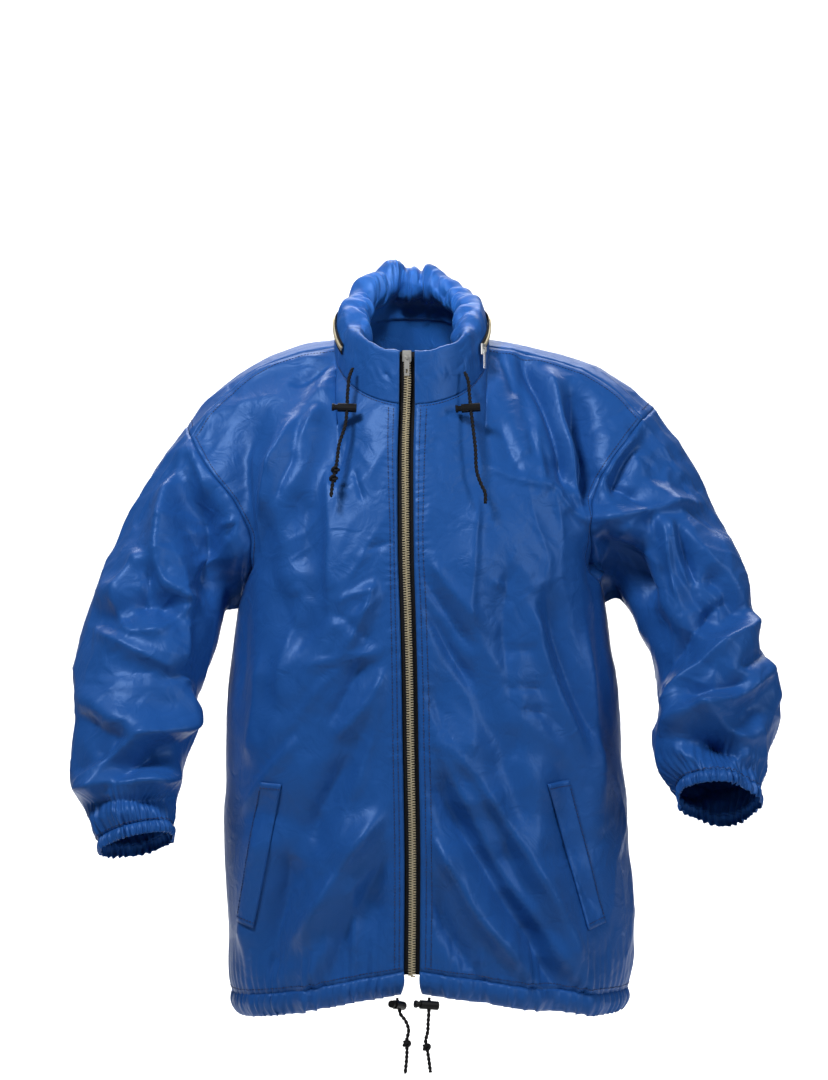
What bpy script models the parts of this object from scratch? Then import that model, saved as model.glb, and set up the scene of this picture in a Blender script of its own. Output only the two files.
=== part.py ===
"""A zip-front raincoat of thin coated nylon, filled out as if it were worn.

Metres, +Z up. The garment faces -Y and the wearer's right side is at -X. The origin is the
middle of the neck, level with the two neck points of the shoulder seams.

Every cloth panel is a loft: rows of points worked out from short tables of sizes. Neighbouring
panels share the points of their seam and the surface's direction there, so their walls meet
in a mitre and stay a seam's gap apart.
"""
import math
from collections import namedtuple

import bmesh
import bpy
import numpy as np
from mathutils import Matrix, Vector

# ---------------------------------------------------------------- driving dimensions

WALL = 0.0014                  # nylon wall, thickened so that it can be made as a solid
SEAM_GAP = 0.00036             # between two pieces at a seam

RIGHT = -1                     # the wearer's right, at -X
LEFT = 1                       # the wearer's left, at +X
SIDE_NAMES = {RIGHT: "right", LEFT: "left"}

LOW_ROWS = 10                  # rows of cells from the hem casing to the underarm
HIGH_ROWS = 11                 # rows of cells from the underarm to the shoulder seam
NECK_COLUMNS = 5               # columns of a front that end at the neck seam
SHOULDER_COLUMNS = 9           # columns of a front, or of half the back, that end at the shoulder
BACK_NECK_COLUMNS = 8
SLEEVE_ROWS = 22

ZIP_GAP = 0.0085               # from the middle of the zip to the edge of each front
ZIP_TOP_Z = -0.0115
ZIP_BOTTOM_Z = -0.6715

NECK_HALF_WIDTH = 0.083
NECK_HALF_DEPTH = 0.090
NECK_MIDDLE_Y = -0.015
NECK_FRONT_DROP = 0.0685
NECK_BACK_RISE = 0.035
NECK_POINT_ANGLE = math.radians(88)      # where the shoulder seam meets the neck seam

BODY_SQUARENESS = 2.4          # exponent of the body's rounded section
CASING_HEIGHT = 0.024
CASING_COLUMNS_PER_PLEAT = 3     # each cell of a panel's lowest row takes one pleat
CUFF_HEIGHT = 0.013
CUFF_COLUMNS_PER_CELL = 2
CUFF_PLEAT = 0.0010

COLLAR_STATIONS_PER_CELL = 3     # for each cell of a panel's neck edge
COLLAR_FRONT_WALL = 0.0034
COLLAR_ROLL = 0.029            # thickness where the hood lies rolled up inside
COLLAR_LEAN = 0.010            # inwards, over its height, at the sides and back
COLLAR_FRONT_LEAN = 0.0045
COLLAR_SEAM_GAP = 0.0016
COLLAR_PLEAT = 0.0015
COLLAR_ROUND_FROM = 0.012       # height above which the collar's plan is a true curve
COLLAR_BULGE = 0.003           # how far its outer face swells over the rolled hood

CORD_DIAMETER = 0.003

# ---------------------------------------------------------------- tables of the form

# Middle of the closed zip, read from the top down.
ZIP_COLUMNS = "z x y"
ZIP_LINE = (
    (-0.0115, -0.0058, -0.1000),
    (-0.0440, -0.0047, -0.1030),
    (-0.0685, -0.0054, -0.1047),
    (-0.1086, -0.0068, -0.1195),
    (-0.1724, -0.0068, -0.1385),
    (-0.2355, -0.0062, -0.1500),
    (-0.2983, -0.0041, -0.1560),
    (-0.3611, -0.0025, -0.1580),
    (-0.4240, -0.0015, -0.1580),
    (-0.5502, 0.0006, -0.1540),
    (-0.6450, 0.0001, -0.1500),
    (-0.7000, -0.0004, -0.1480),
)

# Half widths to each side seam, and the depth of the back, by the height of the side seam.
TORSO_COLUMNS = "z right left back"
TORSO = (
    (-0.742, 0.184, 0.219, 0.146),
    (-0.720, 0.192, 0.229, 0.149),
    (-0.693, 0.199, 0.2365, 0.151),
    (-0.640, 0.2005, 0.2415, 0.153),
    (-0.548, 0.2050, 0.2365, 0.153),
    (-0.470, 0.2040, 0.2320, 0.152),
    (-0.390, 0.2025, 0.2266, 0.151),
    (-0.337, 0.1970, 0.2185, 0.150),
    (-0.284, 0.1905, 0.2130, 0.148),
)

# Lower edge of the garment: heights at the middle of the front and back and at the side seams.
HEM_FRONT_Z = -0.692
HEM_SIDE_Z = {RIGHT: -0.730, LEFT: -0.727}
HEM_BACK_Z = -0.711
HEM_FLARE = {RIGHT: 0.004, LEFT: 0.010}      # how far each front swings from the zip's end

# Armholes, from the underarm up the front to the shoulder seam. x is the distance from the
# middle of the body.
ARMHOLE_FRONT = {
    RIGHT: (
        (0.1905, 0.000, -0.2880),
        (0.1795, -0.060, -0.2620),
        (0.1720, -0.093, -0.2220),
        (0.1880, -0.092, -0.1780),
        (0.2170, -0.072, -0.1400),
        (0.2398, -0.045, -0.1027),
    ),
    LEFT: (
        (0.2130, 0.000, -0.2840),
        (0.2000, -0.062, -0.2500),
        (0.1910, -0.094, -0.1980),
        (0.2050, -0.087, -0.1450),
        (0.2300, -0.062, -0.1080),
        (0.2507, -0.045, -0.0837),
    ),
}

# Armholes from the underarm up the back, over the tip of the shoulder to the shoulder seam.
ARMHOLE_BACK = {
    RIGHT: (
        (0.1905, 0.000, -0.2880),
        (0.1840, 0.055, -0.2580),
        (0.1790, 0.083, -0.2160),
        (0.1900, 0.088, -0.1620),
        (0.2300, 0.046, -0.1060),
        (0.2475, 0.000, -0.0885),
        (0.2398, -0.045, -0.1027),
    ),
    LEFT: (
        (0.2130, 0.000, -0.2840),
        (0.2040, 0.055, -0.2500),
        (0.1980, 0.088, -0.2000),
        (0.2080, 0.086, -0.1400),
        (0.2470, 0.046, -0.0870),
        (0.2673, 0.000, -0.0693),
        (0.2507, -0.045, -0.0837),
    ),
}

# The shoulder seams between the neck point and the armhole, in front of the shoulder's ridge.
SHOULDER_SEAM = {
    RIGHT: (
        (0.1350, -0.019, -0.0130),
        (0.1850, -0.024, -0.0390),
        (0.2180, -0.034, -0.0720),
    ),
    LEFT: (
        (0.1350, -0.019, -0.0120),
        (0.1864, -0.023, -0.0290),
        (0.2240, -0.033, -0.0530),
    ),
}

# Sleeve sections from the shoulder to the cuff: the outer and inner edges seen from the
# front, the depth at which they lie, and the half depth there.
SLEEVE_COLUMNS = "outer_x outer_z inner_x inner_z y half_depth"
SLEEVE = {
    LEFT: (
        (0.2673, -0.0693, 0.2130, -0.2840, 0.000, 0.086),
        (0.3052, -0.1259, 0.2240, -0.2815, -0.006, 0.082),
        (0.3290, -0.1785, 0.2350, -0.2895, -0.018, 0.079),
        (0.3541, -0.2275, 0.2476, -0.3130, -0.035, 0.076),
        (0.3660, -0.2826, 0.2607, -0.3464, -0.056, 0.073),
        (0.3735, -0.3290, 0.2665, -0.3738, -0.071, 0.070),
        (0.3932, -0.3677, 0.2663, -0.3902, -0.087, 0.067),
        (0.3899, -0.4084, 0.2633, -0.4084, -0.104, 0.063),
        (0.3774, -0.4392, 0.2577, -0.4329, -0.120, 0.058),
        (0.3706, -0.4646, 0.2651, -0.4563, -0.133, 0.052),
        (0.3597, -0.4868, 0.2808, -0.4700, -0.145, 0.043),
    ),
    RIGHT: (
        (0.2475, -0.0885, 0.1905, -0.2880, 0.000, 0.086),
        (0.2740, -0.1259, 0.1990, -0.2885, -0.006, 0.082),
        (0.3050, -0.1785, 0.2050, -0.2935, -0.018, 0.079),
        (0.3275, -0.2286, 0.2085, -0.3075, -0.035, 0.076),
        (0.3455, -0.2794, 0.2112, -0.3300, -0.056, 0.074),
        (0.3590, -0.3276, 0.2220, -0.3588, -0.071, 0.071),
        (0.3612, -0.3752, 0.2315, -0.3859, -0.087, 0.068),
        (0.3591, -0.4085, 0.2275, -0.4032, -0.102, 0.066),
        (0.3581, -0.4445, 0.2410, -0.4424, -0.119, 0.061),
        (0.3560, -0.4741, 0.2420, -0.4678, -0.133, 0.057),
        (0.3425, -0.5036, 0.2510, -0.4942, -0.146, 0.049),
        (0.3259, -0.5311, 0.2524, -0.5122, -0.154, 0.042),
    ),
}

# The largest folds: a stroke from one place to another as seen from the front or the back,
# its bend to one side, half its width, and its height (a ridge) or depth (a trough).
FOLD_COLUMNS = "face x0 z0 x1 z1 bend width height"
BODY_FOLDS = (
    ("front", 0.120, -0.020, 0.166, -0.158, -0.014, 0.013, -0.009),
    ("front", 0.172, -0.056, 0.189, -0.190, 0.006, 0.019, -0.018),
    ("front", -0.174, -0.085, -0.158, -0.236, -0.006, 0.018, -0.015),
    ("front", -0.077, -0.030, -0.160, -0.190, 0.008, 0.018, 0.008),
    ("front", -0.105, -0.060, -0.118, -0.320, 0.012, 0.025, -0.007),
    ("front", 0.022, -0.300, 0.120, -0.560, 0.020, 0.020, -0.009),
    ("front", 0.021, -0.405, 0.186, -0.690, 0.018, 0.021, 0.011),
    ("front", 0.018, -0.470, 0.150, -0.695, 0.014, 0.018, -0.011),
    ("front", 0.014, -0.520, 0.118, -0.698, 0.010, 0.019, 0.009),
    ("front", 0.130, -0.260, 0.175, -0.600, 0.012, 0.027, -0.008),
    ("front", -0.030, -0.400, -0.150, -0.640, -0.014, 0.020, -0.008),
    ("front", -0.037, -0.505, -0.115, -0.660, -0.010, 0.020, 0.009),
    ("front", -0.055, -0.280, -0.165, -0.470, -0.012, 0.020, 0.007),
    ("front", -0.020, -0.580, -0.070, -0.690, -0.006, 0.018, -0.008),
    ("back", 0.050, -0.150, 0.160, -0.460, 0.015, 0.030, -0.009),
    ("back", -0.060, -0.160, -0.150, -0.440, -0.015, 0.030, -0.009),
    ("back", 0.060, -0.300, 0.150, -0.660, 0.020, 0.025, 0.011),
    ("back", -0.070, -0.330, -0.140, -0.670, -0.018, 0.025, 0.011),
    ("back", 0.000, -0.350, 0.030, -0.680, 0.012, 0.027, -0.009),
    ("back", 0.185, -0.090, 0.180, -0.230, -0.006, 0.020, -0.014),
    ("back", -0.168, -0.100, -0.160, -0.240, 0.006, 0.020, -0.009),
)
SLEEVE_FOLDS = {
    LEFT: (
        ("front", 0.200, -0.190, 0.268, -0.300, 0.018, 0.0175, 0.011),
        ("front", 0.215, -0.215, 0.262, -0.330, 0.006, 0.022, -0.016),
        ("front", 0.266, -0.205, 0.372, -0.312, -0.018, 0.0175, 0.011),
        ("front", 0.275, -0.225, 0.352, -0.318, -0.012, 0.0175, -0.015),
        ("front", 0.366, -0.305, 0.285, -0.405, 0.010, 0.019, 0.014),
        ("front", 0.377, -0.350, 0.300, -0.440, 0.008, 0.0175, -0.011),
        ("front", 0.305, -0.392, 0.372, -0.414, -0.006, 0.0175, 0.008),
        ("front", 0.292, -0.425, 0.352, -0.462, 0.006, 0.0175, -0.008),
        ("back", 0.220, -0.240, 0.350, -0.270, 0.010, 0.0175, -0.012),
        ("back", 0.250, -0.310, 0.365, -0.300, 0.010, 0.0175, -0.012),
        ("back", 0.265, -0.360, 0.375, -0.380, -0.010, 0.0175, 0.011),
        ("back", 0.275, -0.420, 0.370, -0.420, 0.010, 0.0175, -0.009),
    ),
    RIGHT: (
        ("front", -0.258, -0.150, -0.234, -0.280, -0.020, 0.0175, 0.011),
        ("front", -0.250, -0.155, -0.206, -0.282, 0.004, 0.019, -0.016),
        ("front", -0.338, -0.268, -0.252, -0.350, 0.012, 0.0175, 0.011),
        ("front", -0.352, -0.310, -0.240, -0.290, 0.010, 0.018, -0.014),
        ("front", -0.350, -0.382, -0.232, -0.402, -0.016, 0.0175, 0.014),
        ("front", -0.352, -0.458, -0.250, -0.424, -0.010, 0.018, -0.014),
        ("front", -0.346, -0.470, -0.255, -0.462, 0.008, 0.0175, 0.011),
        ("back", -0.200, -0.250, -0.330, -0.280, 0.010, 0.0175, -0.012),
        ("back", -0.215, -0.320, -0.350, -0.320, 0.010, 0.0175, 0.011),
        ("back", -0.230, -0.370, -0.352, -0.390, -0.010, 0.0175, -0.012),
        ("back", -0.240, -0.440, -0.352, -0.440, 0.010, 0.0175, 0.009),
    ),
}

# Height of the collar and how far the rolled hood fills it, by the angle round the neck from
# the wearer's left end of the neck seam over the back to the right one.
COLLAR_COLUMNS = "angle height puff"
COLLAR = (
    (0, 0.0570, 0.00),
    (35, 0.0570, 0.00),
    (52, 0.0560, 0.35),
    (68, 0.0530, 0.90),
    (90, 0.0490, 1.00),
    (115, 0.0470, 1.00),
    (130, 0.0480, 1.00),
    (145, 0.0570, 1.00),
    (160, 0.0590, 1.00),
    (172, 0.0555, 1.00),
    (182, 0.0580, 1.00),
    (197, 0.0665, 1.00),
    (208, 0.0655, 1.00),
    (219, 0.0580, 1.00),
    (232, 0.0585, 1.00),
    (248, 0.0500, 1.00),
    (270, 0.0500, 1.00),
    (292, 0.0530, 0.90),
    (308, 0.0560, 0.35),
    (325, 0.0570, 0.00),
    (360, 0.0570, 0.00),
)

# Drawstring ends: points from where each leaves the cloth to its tip.
CORD_ROUTES = {
    "collar_cord_right": (
        (-0.0632, -0.0865, -0.0300), (-0.0665, -0.0925, -0.0390), (-0.0684, -0.1000, -0.0560),
        (-0.0690, -0.1085, -0.0738), (-0.0705, -0.1170, -0.0920), (-0.0768, -0.1265, -0.1130),
        (-0.0796, -0.1360, -0.1350), (-0.0822, -0.1420, -0.1480), (-0.0836, -0.1455, -0.1570),
        (-0.0850, -0.1490, -0.1695),
    ),
    "collar_cord_left": (
        (0.0562, -0.0905, -0.0345), (0.0600, -0.0965, -0.0440), (0.0612, -0.1020, -0.0580),
        (0.0625, -0.1095, -0.0738), (0.0645, -0.1175, -0.0920), (0.0672, -0.1290, -0.1180),
        (0.0690, -0.1380, -0.1445), (0.0735, -0.1420, -0.1570), (0.0768, -0.1455, -0.1640),
        (0.0772, -0.1490, -0.1765),
    ),
    "hem_cord_right": (
        (-0.0157, -0.1503, -0.6951), (-0.0140, -0.1530, -0.7025), (-0.0129, -0.1548, -0.7076),
        (-0.0121, -0.1560, -0.7108), (-0.0068, -0.1575, -0.7180), (-0.0036, -0.1565, -0.7270),
        (-0.0055, -0.1545, -0.7400), (-0.0052, -0.1535, -0.7500), (-0.0070, -0.1525, -0.7745),
    ),
    "hem_cord_left": (
        (0.0182, -0.1525, -0.6943), (0.0180, -0.1545, -0.7020), (0.0178, -0.1559, -0.7073),
        (0.0177, -0.1567, -0.7107), (0.0170, -0.1575, -0.7200), (0.0166, -0.1560, -0.7290),
        (0.0144, -0.1545, -0.7400), (0.0166, -0.1535, -0.7520), (0.0196, -0.1525, -0.7735),
    ),
}

# Cord locks: the middle of the barrel and the direction of its plunger's end.
LOCK_COLUMNS = "name place plunger_way"
CORD_LOCKS = (
    ("collar_lock_right", (-0.0690, -0.1085, -0.0738), (-1.0, 0.0, 0.0)),
    ("collar_lock_left", (0.0625, -0.1095, -0.0738), (-1.0, 0.0, 0.0)),
    ("hem_lock_right", (-0.0140, -0.1530, -0.7025), (-0.45, -0.80, 0.25)),
    ("hem_lock_left", (0.0180, -0.1545, -0.7020), (-0.82, -0.25, 0.42)),
)

# ---------------------------------------------------------------- colours

BLUE = (0.028, 0.085, 0.28)
BLACK = (0.012, 0.012, 0.014)
BRASS = (0.45, 0.36, 0.20)
SILVER = (0.62, 0.62, 0.60)

X_AXIS = (1, 0, 0)
Z_AXIS = (0, 0, 1)

# ---------------------------------------------------------------- small helpers


def mix(a, b, t):
    """Go from a to b as t goes from 0 to 1."""
    return a + (b - a) * t


def ease(t):
    """A soft step from 0 to 1."""
    t = min(max(t, 0.0), 1.0)
    return t * t * (3 - 2 * t)


def read_table(rows, at):
    """Values of a table at a key in its first column, on a smooth curve through its rows."""
    table = np.array(rows, dtype=float)
    if table[0, 0] > table[-1, 0]:
        table = table[::-1]
    keys = table[:, 0]
    values = table[:, 1:]
    slopes = np.gradient(values, keys, axis=0)
    at = min(max(at, keys[0]), keys[-1])
    row = min(int(np.searchsorted(keys, at, side="right")) - 1, len(keys) - 2)
    step = keys[row + 1] - keys[row]
    t = (at - keys[row]) / step
    start = values[row] * (1 + 2 * t) * (1 - t) ** 2 + slopes[row] * step * t * (1 - t) ** 2
    end = values[row + 1] * t * t * (3 - 2 * t) + slopes[row + 1] * step * t * t * (t - 1)
    return start + end


def path_points(points, count):
    """Evenly spaced points, count + 1 of them, on a smooth curve through the given ones."""
    points = np.array(points, dtype=float)
    lengths = np.linalg.norm(np.diff(points, axis=0), axis=1)
    keys = np.concatenate(([0.0], np.cumsum(lengths)))
    rows = [tuple([key]) + tuple(point) for key, point in zip(keys, points)]
    fine = np.array([read_table(rows, key) for key in np.linspace(0, keys[-1], 40 * len(points))])
    travelled = np.concatenate(([0.0], np.cumsum(np.linalg.norm(np.diff(fine, axis=0), axis=1))))
    wanted = np.linspace(0, travelled[-1], count + 1)
    return np.stack([np.interp(wanted, travelled, fine[:, axis]) for axis in range(3)], axis=1)


def unit(vectors):
    """The same directions at length 1."""
    vectors = np.asarray(vectors, dtype=float)
    return vectors / np.maximum(np.linalg.norm(vectors, axis=-1, keepdims=True), 1e-12)


# ---------------------------------------------------------------- the body's form


def even_section_angles():
    """Angles on the body's rounded section, evenly spaced along its outline."""
    angles = np.linspace(0, math.pi / 2, 400)
    power = 2 / BODY_SQUARENESS
    typical_width = 0.21
    typical_depth = 0.155
    across = typical_width * np.sin(angles) ** power
    out = typical_depth * np.cos(angles) ** power
    steps = np.hypot(np.diff(across), np.diff(out))
    travelled = np.concatenate(([0.0], np.cumsum(steps)))
    return travelled / travelled[-1], angles


SECTION_FRACTIONS, SECTION_ANGLES = even_section_angles()


def section_shares(u):
    """How far across and how far back a row has come at the fraction u of its outline."""
    angle = float(np.interp(u, SECTION_FRACTIONS, SECTION_ANGLES))
    power = 2 / BODY_SQUARENESS
    return math.sin(angle) ** power, 1 - max(math.cos(angle), 0.0) ** power


def zip_middle(z):
    """The middle of the zip at a height."""
    x, y = read_table(ZIP_LINE, z)
    return np.array((x, y, z))


def half_width(side, z):
    """The body's half width on one side at the height of its side seam."""
    right, left, back = read_table(TORSO, z)
    return left if side == LEFT else right


def side_seam(side, t):
    """A point of a side seam: t goes from the hem casing to the underarm."""
    underarm_z = ARMHOLE_FRONT[side][0][2]
    z = mix(HEM_SIDE_Z[side] + CASING_HEIGHT, underarm_z, t)
    return np.array((side * half_width(side, z), 0.0, z))


def front_edge(side, z):
    """The zip edge of a front, which swings aside below the end of the zip."""
    swing = ease((ZIP_BOTTOM_Z - z) / 0.03) * HEM_FLARE[side]
    return zip_middle(z) + np.array((side * (ZIP_GAP + swing), 0.0, 0.0))


def low_row(start, end, u):
    """A point on a rounded row from the middle of the body to its side seam."""
    across, back = section_shares(u)
    shares = np.array((across, back, across))
    return start + (end - start) * shares


def low_front(side, t, u):
    """A point of a front between the hem casing and the underarm."""
    underarm_z = ARMHOLE_FRONT[side][0][2]
    z = mix(HEM_FRONT_Z + CASING_HEIGHT, underarm_z, t)
    return low_row(front_edge(side, z), side_seam(side, t), u)


def low_back(side, t, u):
    """A point of one half of the back between the hem casing and the underarm."""
    underarm_z = 0.5 * (ARMHOLE_FRONT[LEFT][0][2] + ARMHOLE_FRONT[RIGHT][0][2])
    z = mix(HEM_BACK_Z + CASING_HEIGHT, underarm_z, t)
    depth = read_table(TORSO, z)[2]
    return low_row(np.array((0.0, depth, z)), side_seam(side, t), u)


def neck_seam(angle):
    """A point of the neck seam: 0 is the middle of the front, pi the middle of the back."""
    forward = math.cos(angle)
    if forward > 0:
        z = -NECK_FRONT_DROP * (1.15 * forward - 0.15 * forward ** 2)
    else:
        z = -NECK_BACK_RISE * forward
    x = NECK_HALF_WIDTH * math.sin(angle)
    y = NECK_MIDDLE_Y - NECK_HALF_DEPTH * forward
    return np.array((x, y, z))


def neck_edge_angle(side):
    """The angle at which a front's zip edge meets the neck seam."""
    edge = front_edge(side, -NECK_FRONT_DROP)
    return math.asin(side * edge[0] / NECK_HALF_WIDTH)


def neck_side(side, angle):
    """A point of the neck seam on one side, by its angle from the middle of the front."""
    return neck_seam(angle) * np.array((side, 1, 1))


def mirrored(points, side):
    """Points given by their distance from the middle, placed on one side."""
    return [(side * x, y, z) for x, y, z in points]


def shoulder_seam(side):
    """The shoulder seam from the neck to the armhole, one point for each column's edge."""
    neck_point = tuple(neck_side(side, NECK_POINT_ANGLE))
    middle = mirrored(SHOULDER_SEAM[side], side)
    tip = mirrored(ARMHOLE_FRONT[side][-1:], side)
    return path_points([neck_point] + middle + tip, SHOULDER_COLUMNS)


def armhole(side, face):
    """One edge of an armhole from the underarm to the shoulder seam."""
    table = ARMHOLE_FRONT if face == "front" else ARMHOLE_BACK
    return path_points(mirrored(table[side], side), HIGH_ROWS)


def hermite(start, end, start_way, end_way, t):
    """A point on the curve that leaves start along start_way and reaches end along end_way."""
    first = start * (1 + 2 * t) * (1 - t) ** 2 + start_way * t * (1 - t) ** 2
    last = end * t * t * (3 - 2 * t) - end_way * t * t * (1 - t)
    return first + last


# How far an armhole is scooped out of the body's section, as a share of a half section, and
# the share of the height above the underarm over which it happens.
FRONT_SCOOP = 0.26
BACK_SCOOP = 0.22
SCOOP_HEIGHT = 0.45

# The ways in which the cloth leaves the underarm's height and reaches the seams above.
FRONT_RISE = (0.0, -0.05, 1.0)
FRONT_PULL = 0.95
FRONT_ARRIVAL_Y = (0.55, 0.95)           # at the zip, at the armhole
FRONT_ARRIVAL_Z = 0.75
BACK_RISE = (0.0, 0.10, 1.0)
BACK_ARRIVAL_NECK = (0.0, -0.35, 0.9)
BACK_ARRIVAL_SHOULDER = (0.0, -1.0, -0.5)
BACK_RISE_PULL = (0.9, 1.05)             # at the neck, over the shoulder
BACK_ARRIVAL_PULL = (0.8, 1.1)
SHOULDER_STARTS = 0.04                   # share of a half back where the shoulder begins
SHOULDER_REACHED = 0.32
FRONT_EDGE_POWER = 2.2                   # how closely the armhole's correction keeps to it
BACK_EDGE_POWER = 3
ZIP_EDGE_POWER = 4
ZIP_TOP_POWER = 8


def scooped(scoop, t):
    """The share of a half section that is left at a height above the underarm."""
    return 1 - scoop * ease(t / SCOOP_HEIGHT)


def front_grid(side):
    """The points of a front: rows from the hem casing up, columns from the zip outwards."""
    columns = NECK_COLUMNS + SHOULDER_COLUMNS
    low = [[low_front(side, i / LOW_ROWS, k / columns) for k in range(columns + 1)]
           for i in range(LOW_ROWS)]
    neck = [neck_side(side, mix(neck_edge_angle(side), NECK_POINT_ANGLE, k / NECK_COLUMNS))
            for k in range(NECK_COLUMNS)]
    top = neck + list(shoulder_seam(side))
    edge = armhole(side, "front")
    high = []
    for i in range(HIGH_ROWS + 1):
        t = i / HIGH_ROWS
        width = scooped(FRONT_SCOOP, t)
        start = [low_front(side, 1.0, width * k / columns) for k in range(columns + 1)]
        row = []
        for k in range(columns + 1):
            reach = np.linalg.norm(top[k] - start[k]) * FRONT_PULL
            up = np.array(FRONT_RISE) * reach
            back = np.array((0.0, mix(*FRONT_ARRIVAL_Y, k / columns), FRONT_ARRIVAL_Z)) * reach
            row.append(hermite(start[k], top[k], up, back, t))
        middle = front_edge(side, mix(start[0][2], top[0][2], t))
        to_edge = edge[i] - row[-1]
        to_middle = middle - row[0]
        for k in range(columns + 1):
            u = k / columns
            hold = (1 - u) ** ZIP_EDGE_POWER * (1 - t ** ZIP_TOP_POWER)
            row[k] = row[k] + to_edge * u ** FRONT_EDGE_POWER + to_middle * hold
        high.append(row)
    return np.array(low + high)


def back_grid():
    """The points of the back: rows from the hem casing up, columns from right to left."""
    half = SHOULDER_COLUMNS + BACK_NECK_COLUMNS // 2
    columns = 2 * half
    places = [(RIGHT if k < half else LEFT, abs(k - half) / half) for k in range(columns + 1)]
    low = [[low_back(side, i / LOW_ROWS, u) for side, u in places] for i in range(LOW_ROWS)]
    right_seam = list(shoulder_seam(RIGHT))[::-1]
    left_seam = list(shoulder_seam(LEFT))
    around = np.linspace(NECK_POINT_ANGLE, 2 * math.pi - NECK_POINT_ANGLE, BACK_NECK_COLUMNS + 1)
    neck = [neck_seam(angle) for angle in around[::-1]][1:-1]
    top = right_seam + neck + left_seam
    edges = {side: armhole(side, "back") for side in (RIGHT, LEFT)}
    high = []
    for i in range(HIGH_ROWS + 1):
        t = i / HIGH_ROWS
        width = scooped(BACK_SCOOP, t)
        start = [low_back(side, 1.0, width * u) for side, u in places]
        row = []
        for k, (side, u) in enumerate(places):
            reach = np.linalg.norm(top[k] - start[k])
            over = ease((u - SHOULDER_STARTS) / (SHOULDER_REACHED - SHOULDER_STARTS))
            up = np.array(BACK_RISE) * reach * mix(*BACK_RISE_PULL, over)
            forward = mix(np.array(BACK_ARRIVAL_NECK), np.array(BACK_ARRIVAL_SHOULDER), over)
            forward = forward * reach * mix(*BACK_ARRIVAL_PULL, over)
            row.append(hermite(start[k], top[k], up, forward, t))
        to_right = edges[RIGHT][i] - row[0]
        to_left = edges[LEFT][i] - row[-1]
        for k, (side, u) in enumerate(places):
            row[k] = row[k] + (to_left if side == LEFT else to_right) * u ** BACK_EDGE_POWER
        high.append(row)
    return np.array(low + high)


# ---------------------------------------------------------------- sleeves


SLEEVE_HEAD = 0.35             # share of the sleeve over which the armhole's shape fades out


def sleeve_frames(side):
    """Middles, outward and forward half axes of a sleeve's sections."""
    table = np.array(SLEEVE[side])
    outer = np.stack([side * table[:, 0], table[:, 4], table[:, 1]], axis=1)
    inner = np.stack([side * table[:, 2], table[:, 4], table[:, 3]], axis=1)
    middle = 0.5 * (outer + inner)
    outward = 0.5 * (outer - inner)
    along = unit(np.gradient(middle, axis=0))
    forward = unit(np.cross(along, outward)) * side
    return middle, outward, forward * table[:, 5:6]


def sleeve_grid(side):
    """The points of a sleeve: rows from the armhole to the cuff, columns round the arm.

    The first column lies under the arm, and the columns go up the front and down the back.
    """
    front = armhole(side, "front")
    back = armhole(side, "back")
    ring = np.concatenate((front, back[::-1][1:-1]))
    middle, outward, forward = sleeve_frames(side)
    offset = ring - middle[0]
    turn = np.arctan2(offset @ forward[0] / (forward[0] @ forward[0]),
                      -(offset @ outward[0]) / (outward[0] @ outward[0]))
    turn = np.unwrap(turn)
    lengths = np.linalg.norm(np.diff(middle, axis=0), axis=1)
    keys = np.concatenate(([0.0], np.cumsum(lengths))) / lengths.sum()
    stations = [tuple([key]) + tuple(values) for key, values
                in zip(keys, np.hstack((middle, outward, forward)))]
    rows = []
    for i in range(SLEEVE_ROWS + 1):
        s = i / SLEEVE_ROWS
        values = read_table(stations, s)
        centre, out, fore = values[:3], values[3:6], values[6:]
        section = centre - np.outer(np.cos(turn), out) + np.outer(np.sin(turn), fore)
        start = middle[0] - np.outer(np.cos(turn), outward[0]) + np.outer(np.sin(turn), forward[0])
        rows.append(section + (ring - start) * (1 - ease(s / SLEEVE_HEAD)))
    return np.array(rows)


# Shares of the height of a band below its joining row, and how far it swells out there.
CUFF_BAND = ((0.5, 0.0016), (1.0, -0.0004))
CASING_BAND = ((0.5, 0.0020), (1.0, -0.0070))
CASING_PLEAT = 0.0021


def cuff_grid(sleeve):
    """The points of a cuff: it starts on the sleeve's last row and is drawn in by elastic."""
    last = sleeve[-1]
    columns = len(last) * CUFF_COLUMNS_PER_CELL
    join = []
    for k in range(columns):
        cell, part = divmod(k, CUFF_COLUMNS_PER_CELL)
        after = last[(cell + 1) % len(last)]
        join.append(mix(last[cell], after, part / CUFF_COLUMNS_PER_CELL))
    join = np.array(join)
    centre = join.mean(axis=0)
    along = unit(centre - sleeve[-4].mean(axis=0))
    away = unit(join - centre)
    pleat = np.where(np.arange(columns) % 2 == 0, 1.0, -1.0)[:, None]
    rows = [join]
    for share, swell in CUFF_BAND:
        drop = along * CUFF_HEIGHT * share
        rows.append(join + drop + away * (swell + pleat * CUFF_PLEAT * share))
    return np.array(rows)


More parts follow.
